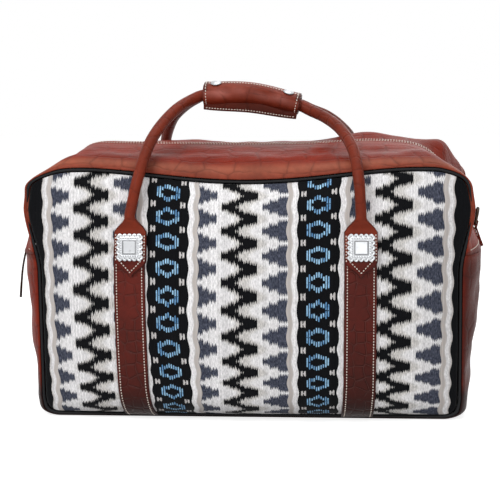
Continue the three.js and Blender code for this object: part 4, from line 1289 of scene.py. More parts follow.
def row_tree(name, lengths, make_unit):
    """A node tree that sets one small shape after another along the edges of a mesh."""
    tree = bpy.data.node_groups.new(name, "GeometryNodeTree")
    tree.interface.new_socket("Geometry", in_out="INPUT", socket_type="NodeSocketGeometry")
    for label in lengths:
        tree.interface.new_socket(label, in_out="INPUT", socket_type="NodeSocketFloat")
    tree.interface.new_socket("Finish", in_out="INPUT", socket_type="NodeSocketMaterial")
    tree.interface.new_socket("Geometry", in_out="OUTPUT", socket_type="NodeSocketGeometry")
    source = tree.nodes.new("NodeGroupInput")
    sink = tree.nodes.new("NodeGroupOutput")
    given = {socket.name: Wire(tree, socket) for socket in source.outputs if socket.name}
    curve = {"Curve": result(tree, "GeometryNodeMeshToCurve", {"Mesh": given["Geometry"]})}
    points = add_node(tree, "GeometryNodeCurveToPoints", {**curve, "Length": given["Pitch"]}, mode="LENGTH")
    out = add_node(tree, "GeometryNodeInputNamedAttribute", {"Name": "out"}, data_type="FLOAT_VECTOR")
    axes = {
        "Primary Axis": Wire(tree, points.outputs["Tangent"]),
        "Secondary Axis": Wire(tree, out.outputs["Attribute"]),
    }
    placed = result(tree, "GeometryNodeInstanceOnPoints", {
        "Points": Wire(tree, points.outputs["Points"]),
        "Instance": make_unit(tree, given),
        "Rotation": result(tree, "FunctionNodeAxesToRotation", axes, primary_axis="Z", secondary_axis="X"),
    })
    plain = result(tree, "GeometryNodeRealizeInstances", {0: placed})
    smooth = result(tree, "GeometryNodeSetShadeSmooth", {0: plain})
    dressed = {"Geometry": smooth, "Material": given["Finish"]}
    plug(tree, result(tree, "GeometryNodeSetMaterial", dressed), sink.inputs[0])
    return tree


def stitch_unit(tree, given):
    """A stitch: a grain of thread that dips in at both ends."""
    ball = result(tree, "GeometryNodeMeshUVSphere", {"Segments": 6, "Rings": 5, "Radius": 0.5})
    spread = packed(tree, given["Width"] * 0.8, given["Width"], given["Length"])
    return result(tree, "GeometryNodeTransform", {"Geometry": ball, "Scale": spread})


def tooth_unit(tree, given):
    """A zip tooth: a jaw round the tape's edge and a narrower head."""
    height, reach, thickness = given["Height"], given["Reach"], given["Thickness"]
    jaw = (packed(tree, height, reach * 0.6, thickness), reach * 0.3)
    head = (packed(tree, height * 0.62, reach, thickness * 0.75), reach * -0.1)
    both = tree.nodes.new("GeometryNodeJoinGeometry")
    for size, shift in (jaw, head):
        block = result(tree, "GeometryNodeMeshCube", {"Size": size})
        place = {"Geometry": block, "Translation": packed(tree, 0.0, shift, 0.0)}
        plug(tree, result(tree, "GeometryNodeTransform", place), both.inputs[0])
    return Wire(tree, both.outputs[0])


def path_object(name, paths):
    """A mesh of edges along some paths, each a pair of points and the way out at each."""
    points = np.vstack([path for path, _ in paths])
    outs = np.vstack([np.broadcast_to(out, path.shape) for path, out in paths])
    edges = []
    start = 0
    for path, _ in paths:
        edges.extend((start + k, start + k + 1) for k in range(len(path) - 1))
        start += len(path)
    mesh = bpy.data.meshes.new(name)
    mesh.from_pydata(points * MM, edges, [])
    layer = mesh.attributes.new("out", "FLOAT_VECTOR", "POINT")
    layer.data.foreach_set("vector", outs.astype(np.float32).ravel())
    piece = bpy.data.objects.new(name, mesh)
    bpy.context.scene.collection.objects.link(piece)
    return piece


def grow_row(name, paths, tree, lengths, finish_name):
    """Runs a node tree along some paths and keeps its result as a plain mesh on the bag."""
    piece = path_object(name, paths)
    modifier = piece.modifiers.new("Row", "NODES")
    modifier.node_group = tree
    values = {**lengths, "Finish": finish(finish_name)}
    for item in tree.interface.items_tree:
        if item.in_out == "INPUT" and item.name in values:
            modifier[item.identifier] = values[item.name]
    bpy.context.view_layer.update()
    graph = bpy.context.evaluated_depsgraph_get()
    grown = bpy.data.meshes.new_from_object(piece.evaluated_get(graph))
    bare = piece.data
    piece.modifiers.clear()
    piece.data = grown
    bpy.data.meshes.remove(bare)
    finish_piece(piece, finish_name, (), "bag")


# Stage

# Sizes of the stage, in metres, and each light's place, size and power in watts
FLOOR_REACH = 6.0
VIEW_END = 20
LIGHT_AIM = (0, 0, 0.17)
LIGHTS = {
    "Key light": ((-1.2, -2.2, 2.0), 1.5, 47),
    "Fill light": ((0.8, -3.0, 1.0), 2.0, 20),
    "Top light": ((0.3, 0.2, 2.6), 1.6, 26),
    "Back light": ((0.6, 2.8, 1.2), 2.0, 13),
}


def make_stage():
    scene = bpy.context.scene
    view = scene.bag_view
    scene.view_settings.view_transform = "Standard"
    flat = math.cos(view.elevation)
    back = Vector((math.sin(view.azimuth) * flat, -math.cos(view.azimuth) * flat, math.sin(view.elevation)))
    right = (-back).cross(Vector((0, 0, 1))).normalized()
    up = right.cross(-back)
    turn = Matrix.Rotation(view.roll, 3, back)
    axes = Matrix((turn @ right, turn @ up, back)).transposed()
    place = Vector((view.aim_x, 0, view.aim_z)) + back * view.distance
    camera = bpy.data.objects.new("Camera", bpy.data.cameras.new("Camera"))
    scene.collection.objects.link(camera)
    camera.matrix_world = Matrix.Translation(place) @ axes.to_4x4()
    camera.data.lens = view.lens
    camera.data.sensor_width = SENSOR_WIDTH
    camera.data.clip_end = VIEW_END
    scene.camera = camera
    make_floor()
    for name, (place, size, power) in LIGHTS.items():
        make_light(name, place, size, power)
    make_world()


def make_light(name, place, size, power):
    lamp = bpy.data.lights.new(name, "AREA")
    lamp.size = size
    lamp.energy = power
    light = bpy.data.objects.new(name, lamp)
    light.location = place
    aim = Vector(LIGHT_AIM) - Vector(place)
    light.rotation_euler = aim.to_track_quat("-Z", "Y").to_euler()
    bpy.context.scene.collection.objects.link(light)


def seen_directly(tree):
    """1 for rays from the camera, mirrors and glass, and 0 for the rest."""
    path = tree.nodes.new("ShaderNodeLightPath")
    camera, mirror, glass = (
        Wire(tree, path.outputs[f"Is {kind} Ray"]) for kind in ("Camera", "Glossy", "Transmission")
    )
    return camera.largest(mirror).largest(glass)


def make_floor():
    mesh = bpy.data.meshes.new("Floor")
    corners = [(x * FLOOR_REACH, y * FLOOR_REACH, 0) for x, y in ((-1, -1), (1, -1), (1, 1), (-1, 1))]
    mesh.from_pydata(corners, [], [(0, 1, 2, 3)])
    floor = bpy.data.objects.new("Floor", mesh)
    bpy.context.scene.collection.objects.link(floor)
    material = bpy.data.materials.new("Floor")
    material.use_nodes = True
    tree = material.node_tree
    tree.nodes.clear()
    matt = result(tree, "ShaderNodeBsdfDiffuse", {"Color": (0.62, 0.62, 0.62, 1)})
    glow = result(tree, "ShaderNodeEmission", {"Strength": seen_directly(tree) * 0.8})
    both = result(tree, "ShaderNodeAddShader", {0: matt, 1: glow})
    add_node(tree, "ShaderNodeOutputMaterial", {"Surface": both})
    mesh.materials.append(material)


def make_world():
    world = bpy.data.worlds.new("Studio")
    world.use_nodes = True
    bpy.context.scene.world = world
    tree = world.node_tree
    tree.nodes.clear()
    glow = {"Color": (1, 1, 1, 1), "Strength": seen_directly(tree) * 0.69 + 0.31}
    add_node(tree, "ShaderNodeOutputWorld", {"Surface": result(tree, "ShaderNodeBackground", glow)})


# Pieces

def make_lace():
    centre = smooth_path(LACE_ROUTE, 60)
    way = tangents(centre)
    side = unit(np.array([1.0, 0, 0]) - way * way[:, :1])
    other = np.cross(way, side)
    turn = round_turn(12)
    twist = np.linspace(0, LACE_TWIST, len(centre))[:, None]
    wide, thick = LACE_HALF_WIDTH * np.cos(turn), LACE_HALF_THICKNESS * np.sin(turn)
    across = np.cos(twist) * wide - np.sin(twist) * thick
    up = np.sin(twist) * wide + np.cos(twist) * thick
    rings = centre[:, None] + across[..., None] * side[:, None] + up[..., None] * other[:, None]
    shape = Shape()
    shape.tube(rings, edge=np.linspace(0.1, 0.5, len(centre))[:, None])
    lace = shape.piece("lace", "Lace leather", "leather", ["pull_lace"], "pull")


def puff(x, row):
    """How far the stuffed cloth swells out between the straps and the seams."""
    edge_x = panel_row(row)[0]
    inside = ease(1 - np.abs(x / edge_x), 0, 0.2) * ease(row, 0.05, 0.7) * ease(3 - row, 0.05, 0.9)
    gap = np.minimum(np.abs(x - strap_centre(STRAP_X, row)), np.abs(x - strap_centre(-STRAP_X, row)))
    free = ease(gap, STRAP_WIDTH / 2 + 1, STRAP_WIDTH / 2 + 40)
    spot = panel_face(x, row)
    return inside * free * (sizes().swell / MM + 1.3 * lumps(spot, 110, 4) + 0.5 * lumps(spot, 45, 9))


def panel_down(x, row):
    """Distance down the cloth from the top seam, at a steady place across it."""
    middle = 1.5
    rows = middle + (row[..., None] - middle) * np.linspace(0, 1, 49)
    points = panel_face(np.broadcast_to(x[..., None], rows.shape), rows)
    reach = np.linalg.norm(np.diff(points, axis=-2), axis=-1).sum(-1)
    rise = np.linspace(middle, 3, 200)
    top = travel(panel_face(np.zeros_like(rise), rise))[-1]
    return top - np.sign(row - middle) * reach


def panel_flat(x, row):
    """Place on the flat cloth, which is drawn up at half height, crowded below and slanted at the sides."""
    down = panel_down(x, row)
    down = down - 4.4 * ease(down, 90, 165) + 0.0032 * np.maximum(0, down - 192) ** 2
    slant = 4.5 * ease(down, 150, 280) * np.clip(-x / 90, 0, 1) - 0.018 * down * ease(x, 40, 130)
    across = x + shoulder_swell(panel_face(x, row))
    return np.stack([across + 2.6 - 0.036 * np.maximum(0, x - 82.5) - slant, down], -1) * MM


def make_panels():
    rows = np.concatenate([np.linspace(0, 1, 30)[:-1], np.linspace(1, 2, 66)[:-1], np.linspace(2, 3, 36)])
    shares = np.linspace(-1, 1, 181) * 0.9995
    row, share = np.meshgrid(rows, shares, indexing="ij")
    x = share * panel_row(row)[0]
    front = Shape()
    front.grid(on_panel(x, row, puff(x, row)), panel_flat(x, row))
    for face, shape in (("front", front), ("back", front.mirrored())):
        nodes = [f"{face}_panel"]
        panel = shape.piece(f"{face}_cloth", "Woven wool", "weave", nodes, closed=False, sharp=180)
        give_wall(panel, PANEL_WALL)


def gusset_piece(name, points, node, rows, flip):
    """A strip of leather with painted shade along its foot, up its lower seams and on the right end below
    the join, dark joins at its ends, and a painted highlight beside its seams, stronger higher up.
    """
    x, _, z = np.moveaxis(points, -1, 0)
    near_seam = ease(np.abs(rows), 0.5, 0.8)[None, :]
    # Painted shade along the foot and, near the seams, up to about 60 mm.
    edge = 1.25 * np.maximum(1 - ease(z, 7, 18), near_seam * (1 - ease(z, 25, 60)))
    # Painted shade on the right end below the join.
    edge = np.maximum(edge, 0.85 * ease(x, 215, 245) * (1 - ease(z, 176, 186)))
    edge[:2], edge[-2:] = 0.6, 0.6
    # Painted highlight: a paler band beside the seams, stronger towards the top.
    rubbed = bell(np.abs(rows), 0.95, 0.05)[None, :] * ease(z, 150, 260)
    if flip:
        points, edge, rubbed = points[:, ::-1], edge[:, ::-1], rubbed[:, ::-1]
    shape = Shape()
    shape.grid(points, edge=edge, tone=rubbed)
    piece = shape.piece(name, "Bridle leather", "leather", [node], closed=False, sharp=180)
    give_wall(piece, GUSSET_WALL)


def outward_normals(points, heart):
    """Normals of a grid that point away from a height on the bag's middle line."""
    out = unit(np.cross(np.gradient(points, axis=0), np.gradient(points, axis=1)))
    return out * np.sign((out * (points - [0, 0, heart])).sum(-1, keepdims=True))


def crown_rows(inner, steps):
    """Rows of q from the front seam to an inner row, closer together at the seam."""
    return -1 + (1 - inner) * np.linspace(0, 1, steps + 1) ** 1.6


def make_gussets():
    half = crown_rows(ZIP_OPENING / SEAM_HALF_DEPTH_TOP, 44)
    inside = ease(half, -1, -0.8)[None, :] * ease(-half, 0.15, 0.6)[None, :]
    lip = 0.9 * ease(half, -0.16, -0.12)[None, :]
    for side, sign in (("front", 1), ("rear", -1)):
        points = gusset_points(upper_path, half * sign)
        wave = 1.6 * lumps(points, 90, 12) + 0.6 * lumps(points, 32, 5)
        points = points + outward_normals(points, 150) * (inside * wave + lip)[..., None]
        gusset_piece(f"{side}_top_leather", points, f"top_gusset_{side}", half, sign > 0)
    half = crown_rows(CROWN_FLAT_TOP, 26)
    rows = np.concatenate([half, np.linspace(half[-1], -half[-1], 8)[1:-1], -half[::-1]])
    points = gusset_points(lower_path, rows)
    z = points[..., 2]
    inside = ease(1 - np.abs(rows), 0, 0.25)[None, :] * ease(z, 4, 40) * ease(JOIN_HEIGHT - z, 2, 30)
    wave = 1.8 * lumps(points, 80, 21) + 0.7 * lumps(points, 30, 8)
    points = points + outward_normals(points, 110) * (inside * wave)[..., None]
    gusset_piece("base_leather", points, "base_gusset", rows, False)


def make_piping():
    centre = draw_in(np.vstack([upper_path(seam(0)), lower_path(seam(0))[::-1]]))
    ahead = tangents(centre, closed=True)
    outward = np.stack([-ahead[:, 1], ahead[:, 0]], 1)
    turn = round_turn(10)
    radius = 0.85 * PIPING_RADIUS
    out = radius * np.cos(turn)
    y = 0.5 * PIPING_RADIUS + radius * np.sin(turn) - seam_half_depth(centre[:, 1])[:, None]
    x = centre[:, :1] + outward[:, :1] * out
    z = centre[:, 1:] + outward[:, 1:] * out
    front = Shape()
    front.grid(settle(np.stack([x, y, z], -1)), wrap_rows=True, wrap=True)
    both_faces(front, "cord_piping", "Black piping", "piping", "piping")


def crest_stations(inset):
    """Points along the zip's crest, with the way out of the bag at each in its plane and in space."""
    path = upper_path(crest())
    trim = inset / travel(path)[-1]
    path = spaced(path, np.linspace(trim, 1 - trim, 500))
    ahead = tangents(path)
    out = np.stack([-ahead[:, 1], ahead[:, 0]], 1)
    return path, out, np.insert(out, 1, 0, axis=1)


def on_crest(path, out, y, height):
    points = path + out * height
    return settle(np.stack([points[:, 0], np.full(len(path), float(y)), points[:, 1]], 1))


def make_zip():
    path, out, way_out = crest_stations(ZIP_START + ZIP_STOP_LENGTH + FIT)
    top = -GUSSET_THICKNESS - FIT
    bottom = top - ZIP_TAPE_THICKNESS
    corners = [
        (ZIP_TAPE_START, top), (ZIP_TAPE_EDGE, top), (ZIP_TAPE_EDGE, bottom), (ZIP_TAPE_START, bottom),
    ]
    tape = Shape()
    tape.tube(np.stack([on_crest(path, out, -y, height) for y, height in corners], 1))
    lengths = {"Pitch": sizes().tooth_pitch, **TOOTH}
    tree = row_tree("Zip teeth", lengths, tooth_unit)
    # The rear row runs the other way and starts later, so that its teeth fall between the front ones
    rows = (("front", tape, -1, slice(None)), ("rear", tape.mirrored(), 1, slice(-3, None, -1)))
    for side, shape, sign, order in rows:
        shape.piece(f"{side}_zip_tape", "Zip tape", "zip", [f"zipper_{side}_half"])
        teeth = on_crest(path, out, TEETH_APART * sign, TEETH_LEVEL)
        grow_row(f"{side}_zip_teeth", [(teeth[order], way_out[order])], tree, lengths, "Zip metal")
    for side in ("left", "right"):
        softened(f"zipper_stop_{side}", f"{side}_zip_stop", "Zip metal", "bag", 0.5)


def make_slider():
    softened("zipper_slider", "slider_body", "Dark metal", "slider", 0.4)
    softened("zipper_pull", "pull_tag", "Dark metal", "pull", 0.35)


def tab_stations(x, steps):
    """Stations of the flat tab, from its point up to where the roll leaves the panel."""
    row = np.linspace(TAB_TIP, 2, steps)
    roll = ease(row, TAB_SHOULDER, 2)
    pointed = ease(row, TAB_TIP, TAB_POINT)
    flare = ease(-row, -TAB_FLARE_TOP, -TAB_FLARE)
    half = blend(TAB_TIP_WIDTH, STRAP_WIDTH + 2 * TAB_SPREAD, pointed) / 2
    thickness = blend(TAB_THICKNESS / 2 * blend(0.4, 1, pointed), HANDLE_RADIUS * ROLL_SLIMMING, roll)
    return {
        "point": on_panel(x, row, TAB_LOW + thickness),
        "width": blend(HANDLE_RADIUS * ROLL_SLIMMING, half, flare),
        "thickness": thickness,
        "power": blend(float(TAB_FLATNESS), 2.0, roll),
        "facing": blend(panel_normal(np.full_like(row, x), row), FORWARD, roll[:, None]),
        "tone": 1 - ease(row, CONCHO_ROW - 0.05, CONCHO_ROW + 0.02),
    }


def handle_stations():
    """Stations of the front handle, from the left tab's point over the roll to the right tab's point."""
    left = tab_stations(-STRAP_X, 34)
    right = {key: value[::-1] for key, value in tab_stations(STRAP_X, 34).items()}
    route = np.vstack([left["point"][-1:], HANDLE_ROUTE, right["point"][:1]])
    centre = smooth_path(route, 150)[1:-1]
    count = len(centre)
    roll = {
        "point": centre,
        "width": np.full(count, HANDLE_RADIUS * ROLL_SLIMMING),
        "thickness": np.full(count, HANDLE_RADIUS * ROLL_SLIMMING),
        "power": np.full(count, 2.0),
        "facing": np.broadcast_to(FORWARD, (count, 3)),
        "tone": np.zeros(count),
    }
    joined = {key: np.concatenate([left[key], roll[key], right[key]]) for key in left}
    way = travel(joined["point"])
    neck = travel(left["point"])[-1]
    from_neck = np.minimum(np.abs(way - neck), np.abs(way[-1] - neck - way))
    slim = 1 - NECK_SLIMMING * (1 - ease(from_neck, 0, 90)) * (joined["power"] < TAB_FLATNESS)
    along = tangents(joined["point"])
    facing = joined["facing"]
    joined["width"] = joined["width"] * slim
    joined["thickness"] = joined["thickness"] * slim
    joined["out"] = unit(facing - along * (facing * along).sum(-1, keepdims=True))
    joined["side"] = np.cross(along, joined["out"])
    return joined


def make_handles():
    stations = {key: value[:, None] for key, value in handle_stations().items()}
    turn = round_turn(28)
    across, up = squared(np.cos(turn)[None, :], np.sin(turn)[None, :], stations["power"])
    across = across * stations["width"]
    up = up * stations["thickness"]
    rings = stations["point"] + across[..., None] * stations["side"] + up[..., None] * stations["out"]
    round_it = np.linspace(-math.pi, math.pi, len(turn) + 1) * HANDLE_RADIUS
    flat = np.stack(np.meshgrid(round_it, travel(stations["point"][:, 0])), -1) * MM
    flat_part = (stations["power"] - 2) / (TAB_FLATNESS - 2)
    edge = flat_part * ease(np.abs(across), stations["width"] - 1.5, stations["width"])
    sway = ease(rings[..., 2], 275, 305) * ease(-rings[..., 2], -350, -325)
    for face, lean in (("front", 0), ("back", BACK_HANDLE_LEAN)):
        shape = Shape()
        shape.tube(rings - (lean * sway)[..., None] * [1, 0, 0], flat, edge=edge, tone=stations["tone"])
        made = shape if face == "front" else shape.mirrored()
        made.piece(f"{face}_rolled_handle", "Handle leather", "leather", [f"{face}_handle"], sharp=60)


def make_straps():
    section = rounded_strip(STRAP_WIDTH, STRAP_THICKNESS, 0.8, 11)
    across, height = section[None, :, 0], section[None, :, 1]
    rows = np.linspace(STRAP_FOOT, CONCHO_ROW, 90)
    cut_edge = 0.6 * strip_edge(across, STRAP_WIDTH / 2)
    for side, x, unshaded_row in (("left", -STRAP_X, 1.7), ("right", STRAP_X, 2.0)):
        rings = on_panel(strap_centre(x, rows)[:, None] + across, rows[:, None], STRAP_LOW + height)
        along = travel(rings[:, len(section) // 2])
        flat = np.stack(np.meshgrid(np.append(section[:, 0], section[0, 0]), along), -1) * MM
        # Painted shade: each strap is darker towards its foot, up to a row that differs left and right.
        dirt_and_shade = 1.3 * (1 - ease(rows, 0.2, unshaded_row))[:, None]
        front = Shape()
        front.tube(rings, flat, edge=np.maximum(dirt_and_shade, cut_edge))
        both_faces(front, f"{side}_belt", "Embossed leather", "embossed_leather", f"strap_{side}")


CONCHO_HALF = CONCHO_SIDE / 2 - CONCHO_SCALLOP_DEPTH
CONCHO_PITCH = 2 * CONCHO_HALF / CONCHO_SCALLOPS


def concho_outline(count):
    """Outline of the plate as a ring of points: a square whose sides are rows of scallops."""
    along = np.linspace(0, 1, count, endpoint=False)
    bump = CONCHO_SCALLOP_DEPTH * np.abs(np.sin(math.pi * along * CONCHO_SCALLOPS))
    x, y = -CONCHO_HALF + 2 * CONCHO_HALF * along, -CONCHO_HALF - bump
    return np.vstack([np.stack(side, 1) for side in ((x, y), (-y, x), (-x, -y), (y, -x))])


def concho_place(x, y):
    """Distance out from the plate's middle, place along its side from a scallop's middle, and scrolls."""
    reach = np.maximum(np.abs(x), np.abs(y))
    around = np.where(np.abs(x) > np.abs(y), y, x) / CONCHO_PITCH
    from_scallop = ((around + 0.5) % 1 - 0.5) * CONCHO_PITCH
    return reach, from_scallop, 0.5 + 0.5 * np.cos(4 * math.pi * around)


def concho_height(x, y):
    """Relief of the plate: beaded scallops, a ring of scrolls and a framed plain middle."""
    reach, from_scallop, scrolls = concho_place(x, y)
    dimple = bell(from_scallop, 0, 1.1) * bell(reach, 12.6, 0.9)
    scroll = bell(reach, 10.0, 0.8) * scrolls
    frame_rib = bell(reach, 7.3, 0.7)
    middle = ease(CONCHO_PLATEAU / 2 - reach, -0.3, 0.3)
    rim = ease(reach, 13.2, 14.6)
    return CONCHO_THICKNESS - 0.9 * dimple + 0.75 * scroll + 1.3 * frame_rib + 0.8 * middle - 0.5 * rim


def concho_dirt(x, y):
    """Dark recesses of the plate: a line round the frame, the dimples and the scrolls' hollows."""
    reach, from_scallop, scrolls = concho_place(x, y)
    dimple = bell(from_scallop, 0, 1.0) * bell(reach, 12.2, 0.9)
    frame_line = bell(reach, 7.0, 0.55)
    hollow = bell(reach, 9.9, 0.9) * (1 - scrolls)
    notch = bell(np.abs(from_scallop), CONCHO_PITCH / 2, 0.7) * ease(reach, 11.8, 12.8)
    dark = np.maximum.reduce([0.8 * dimple, 0.9 * frame_line, 0.7 * hollow, 0.95 * notch])
    return np.clip(dark, CONCHO_TARNISH, 1)


def on_concho(local, x):
    """Points across, up and out of a concho, on the front panel."""
    out = panel_normal(np.array(float(x)), np.array(CONCHO_ROW))
    side = unit(np.array([1.0, 0, 0]) - out * out[0])
    up = np.cross(out, side)
    centre = on_panel(x, CONCHO_ROW, CONCHO_LOW)
    return centre + local[..., :1] * side + local[..., 1:2] * up + local[..., 2:] * out


def make_conchos():
    outline = concho_outline(40)
    shares = np.concatenate([np.linspace(0.04, 0.9, 44), np.linspace(0.92, 1, 6)])
    flat = outline[None] * shares[:, None, None]
    x, y = np.moveaxis(flat, -1, 0)
    height = concho_height(x, y)
    height[-1] = np.minimum(height[-1], CONCHO_THICKNESS - 0.5)
    under = np.insert(outline, 2, 0, axis=1)[None]
    plate = np.concatenate([np.stack([x, y, height], -1), under])
    edge = np.vstack([concho_dirt(x, y), np.ones((1, len(outline)))])
    for side, strap_x in (("left", -STRAP_X), ("right", STRAP_X)):
        front = Shape()
        front.tube(on_concho(plate, strap_x), edge=edge)
        both_faces(front, f"{side}_plate", "Silver", "silver", f"concho_{side}")
        for face in ("front", "back"):
            dress_solid(f"{face}_concho_screw_{side}", "Silver")


WRAP_PATH = smooth_path([[x, 0, z] for x, _, z in HANDLE_ROUTE if WRAP_LEFT <= x <= WRAP_RIGHT], 80)
WRAP_WAY = travel(WRAP_PATH)
WRAP_LENGTH = WRAP_WAY[-1]
WRAP_HALF_HEIGHT = HANDLE_RADIUS + WRAP_SLACK
WRAP_HALF_DEPTH = HANDLE_HALF_GAP + HANDLE_RADIUS + WRAP_SLACK
WRAP_LIP_Y = -WRAP_HALF_DEPTH * 0.62
WRAP_STEPS = 40


def wrap_stations(start, end, steps):
    """Points along the wrap, and the way up across it, from a start to an end measured along it."""
    distance = np.linspace(start, end, steps + 1)
    inside = np.clip(distance, 0, WRAP_LENGTH)
    along = unit(at_distance(tangents(WRAP_PATH), WRAP_WAY, inside))
    point = at_distance(WRAP_PATH, WRAP_WAY, inside) + along * (distance - inside)[:, None]
    return point, np.cross(FORWARD, along)


def squeeze(point):
    """The wrap is pressed flatter towards its right end."""
    return blend(1.02, 0.88, ease(point[:, :1], WRAP_LEFT, WRAP_RIGHT))


def wrap_section(point, up, turn, grow, rounding=WRAP_ROUNDING, wall=WRAP_WALL):
    """Points of the wrap's section at angles from the back over the top."""
    y, z = squared(np.cos(turn), np.sin(turn), rounding)
    depth = y * (WRAP_HALF_DEPTH + wall + grow)
    height = z * (WRAP_HALF_HEIGHT + wall + grow) * squeeze(point)
    depth, height = np.broadcast_arrays(depth, height)
    sideways = depth[..., None] * BACKWARD
    return point[:, None] + sideways + height[..., None] * up[:, None]


def lip_foot(point):
    """Level of the lip's free edge below the wrap's middle: it is cut straighter than the wrap is bent."""
    share = np.clip((point[:, :1] - WRAP_LEFT) / (WRAP_RIGHT - WRAP_LEFT), 0, 1)
    return -WRAP_HALF_HEIGHT - WRAP_WALL - WRAP_LIP_DEPTH - WRAP_LIP_SAG * 4 * share * (1 - share)


def wrap_shine(points, point, up):
    """Where a painted highlight makes the front of the wrap paler: a band a little above its middle."""
    height = ((points - point[:, None]) * up[:, None]).sum(-1)
    patchy = 0.75 + 0.5 * lumps(points, 22, 47)
    return 0.75 * patchy * bell(height, 3, 5.5) * (points[..., 1] < 0)


def flap_height(turn):
    """Height of the flap's face over the wrap, thinned towards its front edge."""
    return FLAP_THICKNESS * ease(FLAP_FRONT - turn, 0, 0.5)


def add_sleeve(shape, point, up):
    """Adds the wrap's own wall, all round the two handles."""
    turn = round_turn(64)[None, :]
    outer = wrap_section(point, up, turn, 0)
    inner = wrap_section(point, up, turn, 0, WRAP_BORE_ROUNDING, 0)
    dips = 0.5 * lumps(outer, 40, 31)
    outer = outer + dips[..., None] * unit(outer - point[:, None])
    last = len(point) - 1
    edge = np.zeros((2 * len(point), turn.size))
    edge[[0, last, last + 1, -1]] = 0.7
    tone = np.concatenate([wrap_shine(outer, point, up), np.zeros(inner.shape[:2])])
    shape.grid(np.concatenate([outer, inner[::-1]]), wrap_rows=True, wrap=True, edge=edge, tone=tone)


def add_flap(shape, point, up):
    """Adds the flap that is snapped down over the top."""
    sweep = np.linspace(FLAP_BACK, FLAP_FRONT, 30)[None, :]
    over = wrap_section(point, up, sweep, flap_height(sweep))
    below = wrap_section(point, up, sweep, -FIT)
    ring = np.concatenate([over, below[:, ::-1]], 1)
    edge = np.zeros(ring.shape[:2])
    edge[:2], edge[-2:], edge[:, :1] = 0.8, 0.8, 0.8
    shape.tube(ring, edge=edge, tone=wrap_shine(ring, point, up))


def add_lip(shape, point, up):
    """Adds the lip that stands down along the front."""
    thick = WRAP_LIP_THICKNESS
    corners = ((0, 0, 0), (0, 1, 1), (0.6, 1, 0), (thick - 0.6, 1, 0), (thick, 1, 1), (thick, 0, 0))
    lip = np.stack([
        point + [0, WRAP_LIP_Y - y, 0] + up * (blend(-WRAP_HALF_HEIGHT / 2, lip_foot(point), share) + lift)
        for y, share, lift in corners
    ], 1)
    # Painted shade: the lip is darker towards its foot, over the dark of its cut edge.
    shape.tube(lip, edge=np.array([0.5 + 0.4 * share for _, share, _ in corners])[None, :])


def make_wrap():
    shape = Shape()
    stations = wrap_stations(0, WRAP_LENGTH, WRAP_STEPS)
    add_sleeve(shape, *stations)
    add_flap(shape, *wrap_stations(1, WRAP_LENGTH - 1, WRAP_STEPS))
    add_lip(shape, *stations)
    shape.piece("wrap_leather", "Wrap leather", "leather", ["handle_wrap"])
    for side, distance in (("left", SNAP_INSET), ("right", WRAP_LENGTH - SNAP_INSET)):
        make_snap(side, distance)


def make_snap(side, distance):
    """A domed cap with a rolled rim, on the flap."""
    point, up = wrap_stations(distance, distance + 1, 1)
    seat, ahead = wrap_section(point, up, np.array([[SNAP_TURN, SNAP_TURN + 0.01]]), FLAP_THICKNESS)[0]
    first = unit(np.cross(up[0], FORWARD))
    out = unit(np.cross(ahead - seat, first))
    second = np.cross(out, first)
    profile = np.array([
        [0.97, 0], [1, 0.12], [1, 0.3], [0.96, 0.42], [0.89, 0.47], [0.83, 0.44], [0.78, 0.52], [0.6, 0.76],
        [0.4, 0.9], [0.2, 0.98], [0.03, 1],
    ]) * [SNAP_RADIUS, SNAP_HEIGHT]
    turn = round_turn(32)
    ring = first * np.cos(turn)[:, None] + second * np.sin(turn)[:, None]
    rings = seat + out * (profile[:, 1] + FIT)[:, None, None] + ring[None] * profile[:, 0][:, None, None]
    edge = np.full((len(profile), 1), 0.12)
    edge[:4], edge[5] = 0.5, 0.7
    shape = Shape()
    shape.tube(rings, edge=edge)
    shape.piece(f"{side}_snap", "Silver", "silver", [f"snap_cap_{side}"])


def ring_wire():
    """Points of a D-ring round its own bar, which is at local x 0."""
    half = RING_INNER_WIDTH / 2 + RING_WIRE_RADIUS
    straight = [[half * share, 0] for share in (-0.94, -0.5, 0, 0.5, 0.94)]
    turns = np.array([0.1, 0.25, 0.4, 0.5, 0.6, 0.75, 0.9]) * math.pi
    bow = [[half * math.cos(a), RING_HEIGHT * math.sin(a) ** 0.8] for a in turns]
    lean = np.array([math.cos(RING_LEAN), 0, math.sin(RING_LEAN)])
    knots = np.array([[0, y, RING_BAR_OUT] + lean * rise for y, rise in straight + bow])
    path = smooth_path(knots, 72, closed=True)
    face = np.cross(lean, BACKWARD)
    across = np.cross(tangents(path, closed=True), face)
    turn = round_turn(12)[:, None]
    return path[:, None] + RING_WIRE_RADIUS * (np.cos(turn) * across[:, None] + np.sin(turn) * face)


def ring_strap(section, bar):
    """Points of the leather loop that is folded round a ring's bar at a height above the join."""
    wall = RING_TAB_WALL
    eye = RING_TAB_EYE + wall / 2
    turns = np.linspace(math.pi * 0.92, -math.pi / 2, 16)
    over = [[-bar, FIT + 2.5], [6 - bar, FIT + 2.5], [-6, FIT + 3.2]]
    fold = [[eye * math.cos(a), RING_BAR_OUT - eye * math.sin(a)] for a in turns]
    under = [[-9, FIT + wall / 2], [-bar, FIT + wall / 2]]
    spine = np.array([[bar + x, 0, z] for x, z in over + fold + under])
    normal = np.cross(tangents(spine), BACKWARD)
    across = section[None, :, :1] * BACKWARD
    return spine[:, None] + across + section[None, :, 1:] * normal[:, None]


